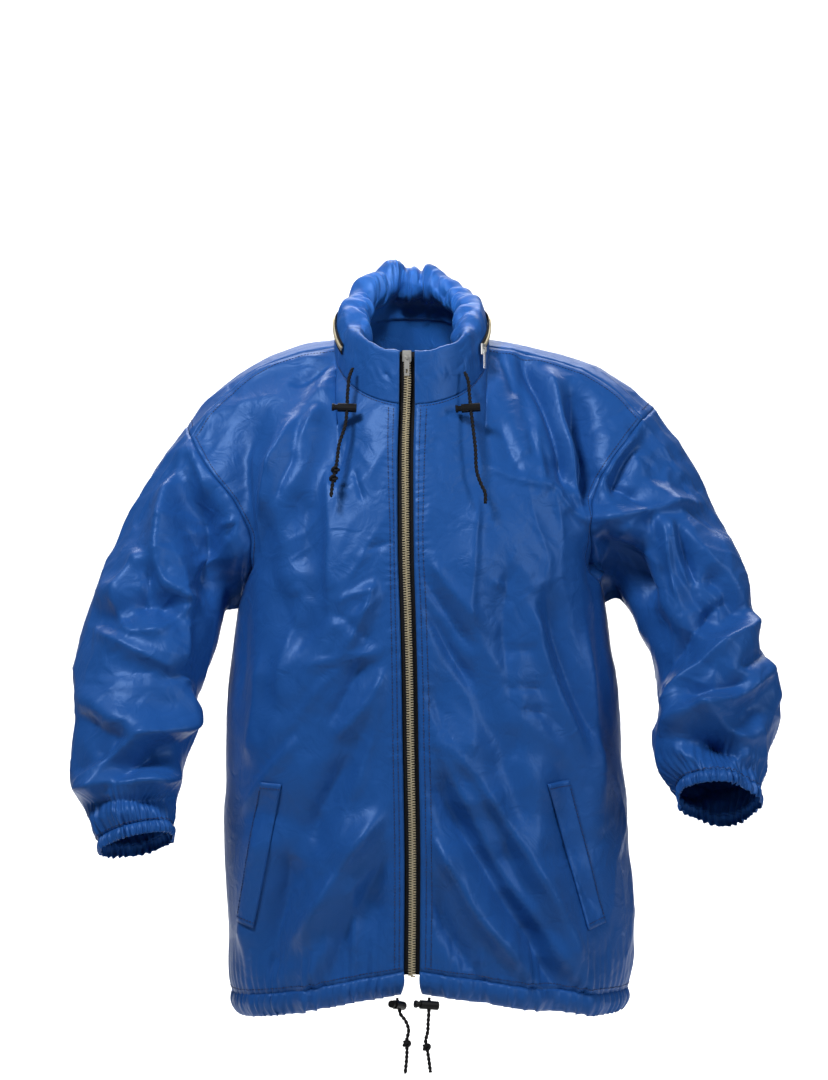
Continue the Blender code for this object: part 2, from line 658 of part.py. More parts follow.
def casing_grid(bottom_row, way):
    """The points of a hem casing: it hangs from a panel's lowest row and is lightly gathered."""
    columns = (len(bottom_row) - 1) * CASING_COLUMNS_PER_PLEAT
    join = []
    for k in range(columns + 1):
        cell = min(k // CASING_COLUMNS_PER_PLEAT, len(bottom_row) - 2)
        part = (k - cell * CASING_COLUMNS_PER_PLEAT) / CASING_COLUMNS_PER_PLEAT
        join.append(mix(bottom_row[cell], bottom_row[cell + 1], part))
    join = np.array(join)
    tangent = unit(np.gradient(join, axis=0))
    outward = unit(np.cross(tangent, (0.0, 0.0, 1.0))) * way
    for end in (0, -1):
        if abs(join[end][1]) < SEAM_GAP:
            outward[end] = (np.sign(join[end][0]), 0.0, 0.0)
    phase = np.arange(columns + 1) * 2 * math.pi / CASING_COLUMNS_PER_PLEAT
    wave = np.sin(phase)[:, None] * CASING_PLEAT
    ends = np.minimum(np.arange(columns + 1), np.arange(columns, -1, -1))[:, None]
    wave = wave * np.minimum(ends / CASING_COLUMNS_PER_PLEAT, 1.0)
    rows = [join]
    for share, swell in CASING_BAND:
        drop = np.array((0.0, 0.0, -CASING_HEIGHT * share))
        rows.append(join + drop + outward * swell + outward * wave * share)
    return np.array(rows[::-1])


# ---------------------------------------------------------------- folds


Fold = namedtuple("Fold", FOLD_COLUMNS)


def fold_height(folds, place, facing):
    """How far the folds move a point of the cloth out, by where it is and how it faces."""
    total = 0.0
    for row in folds:
        fold = Fold(*row)
        toward = -facing[1] if fold.face == "front" else facing[1]
        if toward <= 0:
            continue
        start = np.array((fold.x0, fold.z0))
        stroke = np.array((fold.x1, fold.z1)) - start
        length = np.linalg.norm(stroke)
        along = stroke / length
        across = np.array((-along[1], along[0]))
        offset = np.array((place[0], place[2])) - start
        t = offset @ along / length
        if t < -0.15 or t > 1.15:
            continue
        bow = fold.bend * (1 - (2 * t - 1) ** 2)
        side = (offset @ across - bow) / fold.width
        ends = ease((t + 0.15) / 0.35) * ease((1.15 - t) / 0.35)
        total += fold.height * math.exp(-side * side) * ends * ease(toward * 1.6)
    return total


def folded(grid, normals, folds, closed, held_rows):
    """Move a grid's points out and in by its folds, but keep the edges that others share."""
    rows, columns = grid.shape[:2]
    result = grid.copy()
    for i in range(rows):
        from_row = min(i / held_rows[0], (rows - 1 - i) / held_rows[1], 1.0)
        for k in range(columns):
            from_column = 1.0 if closed else min(k, columns - 1 - k, 3) / 3
            share = ease(from_row) * ease(from_column)
            height = fold_height(folds, grid[i, k], normals[i, k])
            result[i, k] = grid[i, k] + normals[i, k] * height * share
    return result


# ---------------------------------------------------------------- walls


def point_key(point):
    """A name for a place, so that points shared by two panels are found."""
    return tuple(np.round(np.asarray(point) * 1e6).astype(int))


def cells(grid, closed):
    """The four corners of each cell of a grid, as row and column numbers."""
    rows, columns = grid.shape[:2]
    for i in range(rows - 1):
        for k in range(columns if closed else columns - 1):
            after = (k + 1) % columns
            yield (i, k), (i, after), (i + 1, after), (i + 1, k)


def along_grid(grid, axis, closed=False):
    """Directions along a grid's rows (axis 1) or columns (axis 0) at every point."""
    if closed:
        return np.roll(grid, -1, axis=axis) - np.roll(grid, 1, axis=axis)
    return np.gradient(grid, axis=axis)


def shared_normals(panels):
    """Outward directions at every point; where panels meet, each of them counts the same.

    panels holds for each name its grid, whether it closes on itself, and 1 or -1 for the
    way that its cells turn.
    """
    sums = {}
    for grid, closed, way in panels.values():
        own = unit(np.cross(along_grid(grid, 1, closed), along_grid(grid, 0))) * way
        for row, directions in zip(grid, own):
            for point, direction in zip(row, directions):
                key = point_key(point)
                sums[key] = sums.get(key, np.zeros(3)) + direction
    result = {}
    for name, (grid, closed, way) in panels.items():
        normals = np.array([[sums[point_key(point)] for point in row] for row in grid])
        result[name] = unit(normals)
    return result


def between_joins(normals, step, closed):
    """Directions of a gathered row whose joins with its panel come at every step-th point.

    Between two joins they go straight from one to the other, as the panel's own edge does.
    """
    result = normals.copy()
    last = len(normals)
    for k in range(last):
        part = k % step
        if part == 0:
            continue
        before = k - part
        after = (before + step) % last if closed else before + step
        result[k] = mix(normals[before], normals[after], part / step)
    return result


def pulled_back(grid, normals, closed, wall_gap):
    """Draw a panel's edges in by half a seam's gap, square to the edge."""
    result = grid.copy()
    tangent_rows = unit(along_grid(grid, 1, closed))
    for edge, inner in ((0, 1), (-1, -2)):
        inward = grid[inner] - grid[edge]
        for direction in (tangent_rows[edge], normals[edge]):
            inward = inward - direction * np.sum(inward * direction, axis=-1, keepdims=True)
        result[edge] += unit(inward) * wall_gap / 2
    if closed:
        return result
    tangent_columns = unit(along_grid(grid, 0))
    for edge, inner in ((0, 1), (-1, -2)):
        inward = grid[:, inner] - grid[:, edge]
        for direction in (tangent_columns[:, edge], normals[:, edge]):
            inward = inward - direction * np.sum(inward * direction, axis=-1, keepdims=True)
        result[:, edge] += unit(inward) * wall_gap / 2
    return result


def mesh_object(name, points, faces, collection, finish):
    """A named object from points and faces, in its collection and with its material."""
    mesh = bpy.data.meshes.new(name)
    mesh.from_pydata([tuple(point) for point in points], [], faces)
    mesh.validate()
    thing = bpy.data.objects.new(name, mesh)
    collection.objects.link(thing)
    mesh.materials.append(finish)
    return thing


def wall_object(name, grid, normals, way, closed, collection, finish, wall=WALL):
    """A closed wall: the grid moved out and in by half the thickness, and its rims."""
    edged = pulled_back(grid, normals, closed, SEAM_GAP)
    rows, columns = grid.shape[:2]
    outer = (edged + normals * wall / 2).reshape(-1, 3)
    inner = (edged - normals * wall / 2).reshape(-1, 3)
    count = len(outer)

    def number(corner, layer):
        return corner[0] * columns + corner[1] + layer * count

    faces = []
    for corners in cells(grid, closed):
        out_face = [number(corner, 0) for corner in corners]
        in_face = [number(corner, 1) for corner in corners]
        faces.append(out_face if way > 0 else out_face[::-1])
        faces.append(in_face[::-1] if way > 0 else in_face)
    loop = [[(0, k) for k in range(columns)], [(rows - 1, k) for k in range(columns)][::-1]]
    if closed:
        for line in loop:
            line.append(line[0])
    else:
        rim = loop[0][:-1] + [(i, columns - 1) for i in range(rows - 1)] + loop[1][:-1]
        rim += [(i, 0) for i in range(rows - 1, 0, -1)]
        loop = [rim + [rim[0]]]
    for line in loop:
        for a, b in zip(line[:-1], line[1:]):
            face = [number(b, 0), number(a, 0), number(a, 1), number(b, 1)]
            faces.append(face if way > 0 else face[::-1])
    thing = mesh_object(name, np.concatenate((outer, inner)), faces, collection, finish)
    thing.data.shade_smooth()
    return thing


# ---------------------------------------------------------------- collar and its small zip


def collar_stations():
    """Angles round the neck of the collar's sections, with the foot of each.

    The feet lie on the straight edges of the panels' neck cells, so the collar follows them.
    """
    front_ends = {side: neck_edge_angle(side) for side in (RIGHT, LEFT)}
    full = 2 * math.pi
    joins = list(np.linspace(front_ends[LEFT], NECK_POINT_ANGLE, NECK_COLUMNS + 1))
    joins += list(np.linspace(NECK_POINT_ANGLE, full - NECK_POINT_ANGLE,
                              BACK_NECK_COLUMNS + 1))[1:]
    joins += list(np.linspace(full - NECK_POINT_ANGLE, full - front_ends[RIGHT],
                              NECK_COLUMNS + 1))[1:]
    stations = []
    for start, end in zip(joins[:-1], joins[1:]):
        for part in range(COLLAR_STATIONS_PER_CELL):
            share = part / COLLAR_STATIONS_PER_CELL
            foot = mix(neck_seam(start), neck_seam(end), share)
            stations.append((mix(start, end, share), foot))
    stations.append((joins[-1], neck_seam(joins[-1])))
    return stations


def collar_swell(puff, f):
    """How far the middle of the collar's outer wall lies outside the neck seam."""
    lean = mix(COLLAR_FRONT_LEAN, COLLAR_LEAN, puff)
    return puff * COLLAR_BULGE * math.sin(math.pi * f) - lean * f


def collar_foot(angle):
    """The neck seam's point at an angle round the neck, and the outward direction there."""
    outward = unit((math.sin(angle) / NECK_HALF_WIDTH, -math.cos(angle) / NECK_HALF_DEPTH, 0.0))
    return neck_seam(angle), outward


def collar_section(angle):
    """The collar's section at an angle round the neck, in the neck seam's own directions.

    It returns the neck seam's point, the outward direction, pairs of how far each point
    lies outwards and up, and how far the rolled hood fills the collar there.
    """
    height, puff = read_table(COLLAR, math.degrees(angle))
    puff = min(max(puff, 0.0), 1.0)
    foot, outward = collar_foot(angle)
    half_wall = COLLAR_FRONT_WALL / 2
    thick = mix(COLLAR_FRONT_WALL, COLLAR_ROLL, puff)

    def outer(f):
        return half_wall + collar_swell(puff, f)

    outside = [(outer(f), f * height) for f in (0.0, 0.2, 0.42, 0.64, 0.84)]
    rise = 0.16 * height
    middle = outer(0.84) - thick / 2
    over = [(middle + thick / 2 * math.cos(a), 0.84 * height + rise * math.sin(a))
            for a in np.radians((40, 75, 105, 140))]
    inner_edge = outer(0.84) - thick
    inside = [(inner_edge, 0.84 * height),
              (inner_edge - 0.002 * puff, 0.62 * height),
              (mix(outer(0.42) - COLLAR_FRONT_WALL, inner_edge + 0.004, puff), 0.42 * height),
              (outer(0.28) - mix(COLLAR_FRONT_WALL, 0.010, puff), 0.28 * height),
              (outer(0.12) - mix(COLLAR_FRONT_WALL, 0.005, puff), 0.12 * height),
              (-half_wall, 0.0)]
    return foot, outward, outside + over + inside, puff


def make_collar(collection, finish):
    """The stand collar: a closed loft of its sections, with gathers along its inner roll."""
    gathered_points = range(8, 12)
    rings = []
    for station, (angle, straight_foot) in enumerate(collar_stations()):
        round_foot, outward, section, puff = collar_section(angle)
        ring = []
        for number, (out, up) in enumerate(section):
            pleat = 0.0
            if number in gathered_points:
                pleat = COLLAR_PLEAT * puff * (1 if station % 2 else -1)
            foot = mix(straight_foot, round_foot, ease(up / COLLAR_ROUND_FROM))
            rise = np.array((0.0, 0.0, COLLAR_SEAM_GAP + up))
            ring.append(foot + outward * (out + pleat) + rise)
        rings.append(ring)
    count = len(rings[0])
    points = [point for ring in rings for point in ring]
    faces = []
    for station in range(len(rings) - 1):
        for k in range(count):
            after = (k + 1) % count
            base = station * count
            faces.append([base + k, base + after, base + count + after, base + count + k])
    faces.append(list(range(count))[::-1])
    last = (len(rings) - 1) * count
    faces.append([last + k for k in range(count)])
    thing = mesh_object("collar", points, faces, collection, finish)
    turn_outwards(thing)
    thing.data.shade_smooth()
    return thing


def turn_outwards(thing):
    """Make all the faces of a closed mesh point outwards."""
    shape = bmesh.new()
    shape.from_mesh(thing.data)
    bmesh.ops.recalc_face_normals(shape, faces=shape.faces)
    shape.to_mesh(thing.data)
    shape.free()


HOOD_ZIP_START = math.radians(62)
HOOD_ZIP_END = math.radians(297)
HOOD_ZIP_SHARE = 0.45          # its place between the collar's seam and its top
HOOD_ZIP_WIDTH = 0.009
HOOD_ZIP_THICKNESS = 0.0012
HOOD_ZIP_LIFT = 0.0014
HOOD_ZIP_STATIONS = 24


def collar_surface(angle, share):
    """A point on the collar's outer face and the outward direction there."""
    height, puff = read_table(COLLAR, math.degrees(angle))
    foot, outward = collar_foot(angle)
    out = COLLAR_FRONT_WALL / 2 + collar_swell(puff, share)
    rise = np.array((0.0, 0.0, share * height + COLLAR_SEAM_GAP))
    return foot + outward * out + rise, outward


def make_hood_zip(collection, finish):
    """The small zip round the collar's outer face, a strip moved out from its points."""
    rows = []
    for edge in (-0.5, 0.5):
        row = []
        for station in range(HOOD_ZIP_STATIONS + 1):
            angle = mix(HOOD_ZIP_START, HOOD_ZIP_END, station / HOOD_ZIP_STATIONS)
            height = read_table(COLLAR, math.degrees(angle))[0]
            share = HOOD_ZIP_SHARE + edge * HOOD_ZIP_WIDTH / height
            point, outward = collar_surface(angle, share)
            row.append(point + outward * (HOOD_ZIP_LIFT + HOOD_ZIP_THICKNESS / 2))
        rows.append(row)
    grid = np.array(rows)
    normals = shared_normals({"hood_zip": (grid, False, 1)})["hood_zip"]
    return wall_object("hood_zip", grid, normals, 1, False, collection, finish,
                       HOOD_ZIP_THICKNESS)


# ---------------------------------------------------------------- zip of the front

TAPE_INNER = 0.0006            # from the middle of the zip to the inner edge of each tape
TAPE_OUTER = 0.0125
TAPE_DEPTH = 0.0032            # the tapes lie this far behind the fronts
TAPE_THICKNESS = 0.0008
TAPE_STRAIGHT_BELOW = -0.22    # the tapes start to follow the neck above this height
TAPE_TURN_HEIGHT = 0.12
TAPE_NECK_SINK = 0.00048       # farther back where they pass behind the collar's ends
CHAIN_WIDTH = 0.0060
CHAIN_FRONT = -0.0012
CHAIN_BACK = 0.0025
ZIP_ROWS = 22


def tape_point(side, middle, across):
    """A point of a zip tape: it follows the rounding of the neck behind the collar's ends."""
    x = middle[0] + side * across
    round_back = NECK_HALF_DEPTH * (1 - math.sqrt(1 - (x / NECK_HALF_WIDTH) ** 2))
    share = ease((middle[2] - TAPE_STRAIGHT_BELOW) / TAPE_TURN_HEIGHT)
    depth = TAPE_DEPTH + share * (round_back + TAPE_NECK_SINK)
    return middle + np.array((side * across, depth, 0.0))


def zip_rows(top, bottom):
    """Points down the middle of the zip."""
    return [zip_middle(z) for z in np.linspace(bottom, top, ZIP_ROWS + 1)]


def make_zip_tape(side, collection, finish):
    """One tape of the zip, behind the edge of its front."""
    grid = np.array([[tape_point(side, middle, across) for across in (TAPE_INNER, TAPE_OUTER)]
                     for middle in zip_rows(ZIP_TOP_Z - 0.002, ZIP_BOTTOM_Z)])
    name = SIDE_NAMES[side] + "_zip_tape"
    normals = shared_normals({name: (grid, False, side)})[name]
    return wall_object(name, grid, normals, side, False, collection, finish, TAPE_THICKNESS)


def make_zip_chain(collection, finish):
    """The closed chain of teeth, as a plain strip in front of the two tapes."""
    depth = (CHAIN_FRONT + CHAIN_BACK) / 2
    grid = np.array([[middle + np.array((across * CHAIN_WIDTH, depth, 0.0))
                      for across in (-0.5, 0.5)]
                     for middle in zip_rows(ZIP_TOP_Z - 0.003, ZIP_BOTTOM_Z)])
    normals = shared_normals({"zip_chain": (grid, False, 1)})["zip_chain"]
    return wall_object("zip_chain", grid, normals, 1, False, collection, finish,
                       CHAIN_BACK - CHAIN_FRONT)


# ---------------------------------------------------------------- slider and pull tab

SLIDER_BELOW_TOP = 0.0075      # the pull's axis below the top of the zip
SLIDER_GAP = 0.0009            # between the teeth and the slider
HOOD_SLIDER_GAP = 0.0005
SLIDER_WIDTH = 0.0095
SLIDER_HEIGHT = 0.0120
SLIDER_THICKNESS = 0.0017
SLIDER_UP = 0.0005             # the plate's middle above the crossbar's axis
BRIDGE_WIDTH = 0.0022
BRIDGE_HALF_HEIGHT = 0.0027
BRIDGE_OPENING = 0.0017        # half the height of the bridge's opening
BRIDGE_BAR = 0.0009
PULL_AXIS_OUT = 0.0011         # from the slider's face to the pull's crossbar
PULL_WIDTH = 0.0056
PULL_LENGTH = 0.0205
PULL_THICKNESS = 0.0010
PULL_HOLE_WIDTH = 0.0034
PULL_HOLE_BOTTOM = 0.0037      # below the crossbar's axis, clear of the bridge's corner
PULL_BAR_RADIUS = 0.00062
GRIP_HOLE_SIZE = (0.0022, 0.0060, 0.0042)
GRIP_HOLE_DOWN = 0.0155
CUT_DEPTH = 0.0060             # of a cutter that goes right through a thin plate
CUT_OVERSHOOT = 0.0010
BRIDGE_SINK = 0.0003           # how far the bridge is let into the slider's plate


def box_object(name, size, place, collection, finish):
    """A box of a size at a place, with its sizes in its mesh."""
    shape = bmesh.new()
    bmesh.ops.create_cube(shape, size=1.0)
    bmesh.ops.scale(shape, vec=Vector(size), verts=shape.verts)
    bmesh.ops.translate(shape, vec=Vector(place), verts=shape.verts)
    mesh = bpy.data.meshes.new(name)
    shape.to_mesh(mesh)
    shape.free()
    mesh.materials.append(finish)
    thing = bpy.data.objects.new(name, mesh)
    collection.objects.link(thing)
    return thing


def add_boolean(thing, other, operation):
    """Cut another object from a thing, or join it on."""
    step = thing.modifiers.new(operation.lower(), "BOOLEAN")
    step.operation = operation
    step.object = other


def hide_cutter(thing):
    """Show a cutter as wires and leave it out of renders."""
    thing.hide_render = True
    thing.display_type = "WIRE"


def add_bevel(thing, width, segments=1):
    """Round a thing's sharp edges a little."""
    step = thing.modifiers.new("rounded edges", "BEVEL")
    step.width = width
    step.segments = segments
    step.limit_method = "ANGLE"


def make_slider(name, place, collection, cutters, finish):
    """A zip slider: its front plate with the bridge that holds the pull tab.

    Its own frame has the zip's direction along Z and faces -Y; the crossbar's axis is
    its origin.
    """
    plate_y = PULL_AXIS_OUT + SLIDER_THICKNESS / 2
    plate_size = (SLIDER_WIDTH, SLIDER_THICKNESS, SLIDER_HEIGHT)
    plate = box_object(name, plate_size, (0, plate_y, SLIDER_UP), collection, finish)
    add_bevel(plate, 0.0005)
    bridge_depth = PULL_AXIS_OUT * 2 + BRIDGE_BAR + BRIDGE_SINK
    bridge_size = (BRIDGE_WIDTH, bridge_depth, 2 * BRIDGE_HALF_HEIGHT)
    bridge_y = PULL_AXIS_OUT + BRIDGE_SINK - bridge_depth / 2
    bridge = box_object(name + "_bridge", bridge_size, (0, bridge_y, 0), cutters, finish)
    opening_size = (BRIDGE_WIDTH * 3, 2 * PULL_AXIS_OUT, 2 * BRIDGE_OPENING)
    opening = box_object(name + "_opening", opening_size, (0, 0, 0), cutters, finish)
    add_boolean(plate, bridge, "UNION")
    add_boolean(plate, opening, "DIFFERENCE")
    for thing in (plate, bridge, opening):
        thing.matrix_world = place
    hide_cutter(bridge)
    hide_cutter(opening)
    return plate


def make_pull(name, place, collection, cutters, finish):
    """A pull tab whose round crossbar goes through the slider's bridge and which hangs down."""
    tab = box_object(name, (PULL_WIDTH, PULL_THICKNESS, PULL_LENGTH), (0, 0, -PULL_LENGTH / 2),
                     collection, finish)
    add_bevel(tab, 0.0003)
    hole_height = PULL_HOLE_BOTTOM + CUT_OVERSHOOT
    hole = box_object(name + "_hole", (PULL_HOLE_WIDTH, CUT_DEPTH, hole_height),
                      (0, 0, CUT_OVERSHOOT - hole_height / 2), cutters, finish)
    grip_hole = box_object(name + "_grip_hole", GRIP_HOLE_SIZE, (0, 0, -GRIP_HOLE_DOWN),
                           cutters, finish)
    crossbar = rod_object(name + "_crossbar", PULL_BAR_RADIUS, PULL_WIDTH, (0, 0, 0), X_AXIS,
                          cutters, finish)
    add_boolean(tab, hole, "DIFFERENCE")
    add_boolean(tab, grip_hole, "DIFFERENCE")
    add_boolean(tab, crossbar, "UNION")
    for cutter in (hole, grip_hole, crossbar):
        hide_cutter(cutter)
    for thing in (tab, hole, grip_hole, crossbar):
        thing.matrix_world = place
    return tab


# ---------------------------------------------------------------- cord locks

LOCK_RADIUS = 0.0047
LOCK_LENGTH = 0.0200
LOCK_BORE = 0.0034             # radius of the bore that the plunger slides in
LOCK_BORE_DEPTH = 0.0170
LOCK_CORD_HOLE = 0.0021        # radius of the cord's hole across the barrel
PLUNGER_RADIUS = 0.0031
PLUNGER_TRAVEL = 0.0032
PLUNGER_BUTTON_RADIUS = 0.0040
PLUNGER_BUTTON_LENGTH = 0.0026
PLUNGER_END_ROOM = 0.0036      # free bore behind the plunger, a little over its travel
LOCK_SIDES = 12
CORD_HOLE_SIDES = 10
LOCK_BORE_OVERSHOOT = 0.002
PLUNGER_NECK = 0.0004          # of the stem between the barrel's mouth and the button
SLOT_NARROWING = 0.0006        # the plunger's slot is this much narrower than the cord's hole


def rod_object(name, radius, length, middle, axis, collection, finish, sides=LOCK_SIDES):
    """A cylinder with its middle at a place and its length along an axis."""
    shape = bmesh.new()
    bmesh.ops.create_cone(shape, cap_ends=True, segments=sides, radius1=radius, radius2=radius,
                          depth=length)
    turn = Vector((0, 0, 1)).rotation_difference(Vector(axis)).to_matrix().to_4x4()
    bmesh.ops.transform(shape, matrix=Matrix.Translation(Vector(middle)) @ turn,
                        verts=shape.verts)
    mesh = bpy.data.meshes.new(name)
    shape.to_mesh(mesh)
    shape.free()
    mesh.materials.append(finish)
    thing = bpy.data.objects.new(name, mesh)
    collection.objects.link(thing)
    return thing


def make_cord_lock(name, place, collection, cutters, finish):
    """A barrel cord lock and its sprung plunger.

    Its own frame has the barrel along X, the plunger's button towards +X and the cord
    along Z through the origin.
    """
    mouth = LOCK_LENGTH / 2
    barrel = rod_object(name + "_barrel", LOCK_RADIUS, LOCK_LENGTH, (0, 0, 0), X_AXIS,
                        collection, finish)
    bore_middle = mouth + (LOCK_BORE_OVERSHOOT - LOCK_BORE_DEPTH) / 2
    bore = rod_object(name + "_bore", LOCK_BORE, LOCK_BORE_DEPTH + LOCK_BORE_OVERSHOOT,
                      (bore_middle, 0, 0), X_AXIS, cutters, finish)
    hole = rod_object(name + "_cord_hole", LOCK_CORD_HOLE, LOCK_RADIUS * 3, (0, 0, 0), Z_AXIS,
                      cutters, finish, CORD_HOLE_SIDES)
    stem_end = mouth - LOCK_BORE_DEPTH + PLUNGER_END_ROOM
    neck_out = mouth + PLUNGER_TRAVEL + PLUNGER_NECK
    stem_length = neck_out + PLUNGER_NECK - stem_end
    plunger = rod_object(name + "_plunger", PLUNGER_RADIUS, stem_length,
                         (stem_end + stem_length / 2, 0, 0), X_AXIS, collection, finish)
    button = rod_object(name + "_button", PLUNGER_BUTTON_RADIUS, PLUNGER_BUTTON_LENGTH,
                        (neck_out + PLUNGER_BUTTON_LENGTH / 2, 0, 0), X_AXIS, cutters, finish)
    slot_length = 2 * LOCK_CORD_HOLE + PLUNGER_TRAVEL
    slot_width = 2 * LOCK_CORD_HOLE - SLOT_NARROWING
    slot = box_object(name + "_slot", (slot_length, slot_width, LOCK_RADIUS * 3),
                      (PLUNGER_TRAVEL / 2, 0, 0), cutters, finish)
    add_boolean(barrel, bore, "DIFFERENCE")
    add_boolean(barrel, hole, "DIFFERENCE")
    add_boolean(plunger, button, "UNION")
    add_boolean(plunger, slot, "DIFFERENCE")
    for thing in (barrel, bore, hole, plunger, button, slot):
        thing.matrix_world = place
    for cutter in (bore, hole, button, slot):
        hide_cutter(cutter)
    return barrel, plunger


CORD_WAY_POINTS = 200          # points read along a cord to find its direction in its lock
CORD_WAY_STEPS = 4


def lock_frame(place, plunger_way, cord_way):
    """The frame of a cord lock from where it is and the ways of its plunger and its cord."""
    z_way = Vector(cord_way).normalized()
    x_way = Vector(plunger_way)
    x_way = (x_way - z_way * x_way.dot(z_way)).normalized()
    y_way = z_way.cross(x_way)
    turn = Matrix((x_way, y_way, z_way)).transposed().to_4x4()
    return Matrix.Translation(Vector(place)) @ turn


# ---------------------------------------------------------------- cords


def make_cord(name, route, collection, finish):
    """A drawstring end: a round tube on a smooth curve through its route's points."""
    length = sum(math.dist(a, b) for a, b in zip(route[:-1], route[1:]))
    count = round(length / (2.6 * CORD_DIAMETER))
    curve = bpy.data.curves.new(name, "CURVE")
    curve.dimensions = "3D"
    curve.bevel_depth = CORD_DIAMETER / 2
    curve.bevel_resolution = 2
    curve.use_fill_caps = True
    spline = curve.splines.new("POLY")
    points = path_points(route, count)
    spline.points.add(len(points) - 1)
    for target, point in zip(spline.points, points):
        target.co = (point[0], point[1], point[2], 1.0)
    curve.materials.append(finish)
    thing = bpy.data.objects.new(name, curve)
    collection.objects.link(thing)
    return thing


# ---------------------------------------------------------------- pocket welts

# Corners of each welt as seen from the front: the opening edge and the sewn edge.
WELT_COLUMNS = "top_inner top_outer bottom_outer bottom_inner"
POCKET_WELTS = {
    LEFT: ((0.1420, -0.4720), (0.1665, -0.4690), (0.2060, -0.6230), (0.1860, -0.6290)),
    RIGHT: ((0.1370, -0.4720), (0.1600, -0.4700), (0.1860, -0.6220), (0.1680, -0.6280)),
}
WELT_ROWS = 10
WELT_COLUMNS_ACROSS = 4
WELT_WALL = 0.0012
WELT_LIFT = 0.0027


def make_welt(side, panel, panel_normals, collection, finish):
    """A pocket welt that lies on a front, made from the front's points and moved out."""
    corners = [np.array((side * x, z)) for x, z in POCKET_WELTS[side]]
    top_inner, top_outer, bottom_outer, bottom_inner = corners
    rows = []
    ways = []
    for i in range(WELT_ROWS + 1):
        t = i / WELT_ROWS
        inner = mix(bottom_inner, top_inner, t)
        outer = mix(bottom_outer, top_outer, t)
        row = []
        way_row = []
        for k in range(WELT_COLUMNS_ACROSS + 1):
            place = mix(inner, outer, k / WELT_COLUMNS_ACROSS)
            point, way = front_surface(panel, panel_normals, place)
            row.append(point + way * WELT_LIFT)
            way_row.append(way)
        rows.append(row)
        ways.append(way_row)
    name = SIDE_NAMES[side] + "_pocket_welt"
    grid = np.array(rows)
    return wall_object(name, grid, np.array(ways), side, False, collection, finish, WELT_WALL)


def front_surface(panel, normals, place):
    """The point of a front behind a place seen from the front, and its outward direction."""
    for corners in cells(panel, False):
        quad = [panel[corner] for corner in corners]
        ways = [normals[corner] for corner in corners]
        for trio in ((0, 1, 2), (0, 2, 3)):
            a, b, c = (quad[n] for n in trio)
            matrix = np.array(((b[0] - a[0], c[0] - a[0]), (b[2] - a[2], c[2] - a[2])))
            if abs(np.linalg.det(matrix)) < 1e-12:
                continue
            s, t = np.linalg.solve(matrix, place - np.array((a[0], a[2])))
            if s >= -1e-6 and t >= -1e-6 and s + t <= 1 + 1e-6:
                point = a + (b - a) * s + (c - a) * t
                way = ways[trio[0]] * (1 - s - t) + ways[trio[1]] * s + ways[trio[2]] * t
                return point, unit(way)
    raise ValueError("no cloth behind %s" % (place,))


# ---------------------------------------------------------------- materials and scene


def make_finish(name, colour, roughness, metallic):
    """A plain material of one colour."""
    finish = bpy.data.materials.new(name)
    finish.use_nodes = True
    shader = finish.node_tree.nodes["Principled BSDF"]
    shader.inputs["Base Color"].default_value = (*colour, 1.0)
    shader.inputs["Roughness"].default_value = roughness
    shader.inputs["Metallic"].default_value = metallic
    return finish


def nylon(name):
    """Blue coated nylon for one piece."""
    return make_finish(name + " nylon", BLUE, 0.38, 0.0)


def clear_scene():
    """Take away whatever the file opened with."""
    for thing in list(bpy.data.objects):
        bpy.data.objects.remove(thing, do_unlink=True)


def new_collection(name):
    """A collection of its own for the garment or for its cutters."""
    collection = bpy.data.collections.new(name)
    bpy.context.scene.collection.children.link(collection)
    return collection


def garment_panels():
    """The grids of every cloth panel, folded, with the directions that neighbours share."""
    panels = {}
    for side in (RIGHT, LEFT):
        name = SIDE_NAMES[side]
        panels[name + "_front"] = (front_grid(side), False, side)
        panels[name + "_sleeve"] = (sleeve_grid(side), True, -side)
    panels["back"] = (back_grid(), False, -1)
    normals = shared_normals(panels)
    for name, (grid, closed, way) in list(panels.items()):
        if name.endswith("sleeve"):
            folds = SLEEVE_FOLDS[RIGHT if name.startswith("right") else LEFT]
            held = (4, 2)
        else:
            folds = BODY_FOLDS
            held = (3, 2)
        panels[name] = (folded(grid, normals[name], folds, closed, held), closed, way)
    for side in (RIGHT, LEFT):
        name = SIDE_NAMES[side]
        cuff = cuff_grid(panels[name + "_sleeve"][0])
        panels[name + "_cuff"] = (cuff, True, -side)
        bottom = panels[name + "_front"][0][0]
        panels[name + "_hem_casing"] = (casing_grid(bottom, side), False, side)
    panels["back_hem_casing"] = (casing_grid(panels["back"][0][0], -1), False, -1)
    normals = shared_normals(panels)
    for name, (grid, closed, way) in panels.items():
        if name.endswith("cuff"):
            normals[name][0] = between_joins(normals[name][0], CUFF_COLUMNS_PER_CELL, True)
        if name.endswith("casing"):
            normals[name][-1] = between_joins(normals[name][-1], CASING_COLUMNS_PER_PLEAT, False)
    return panels, normals


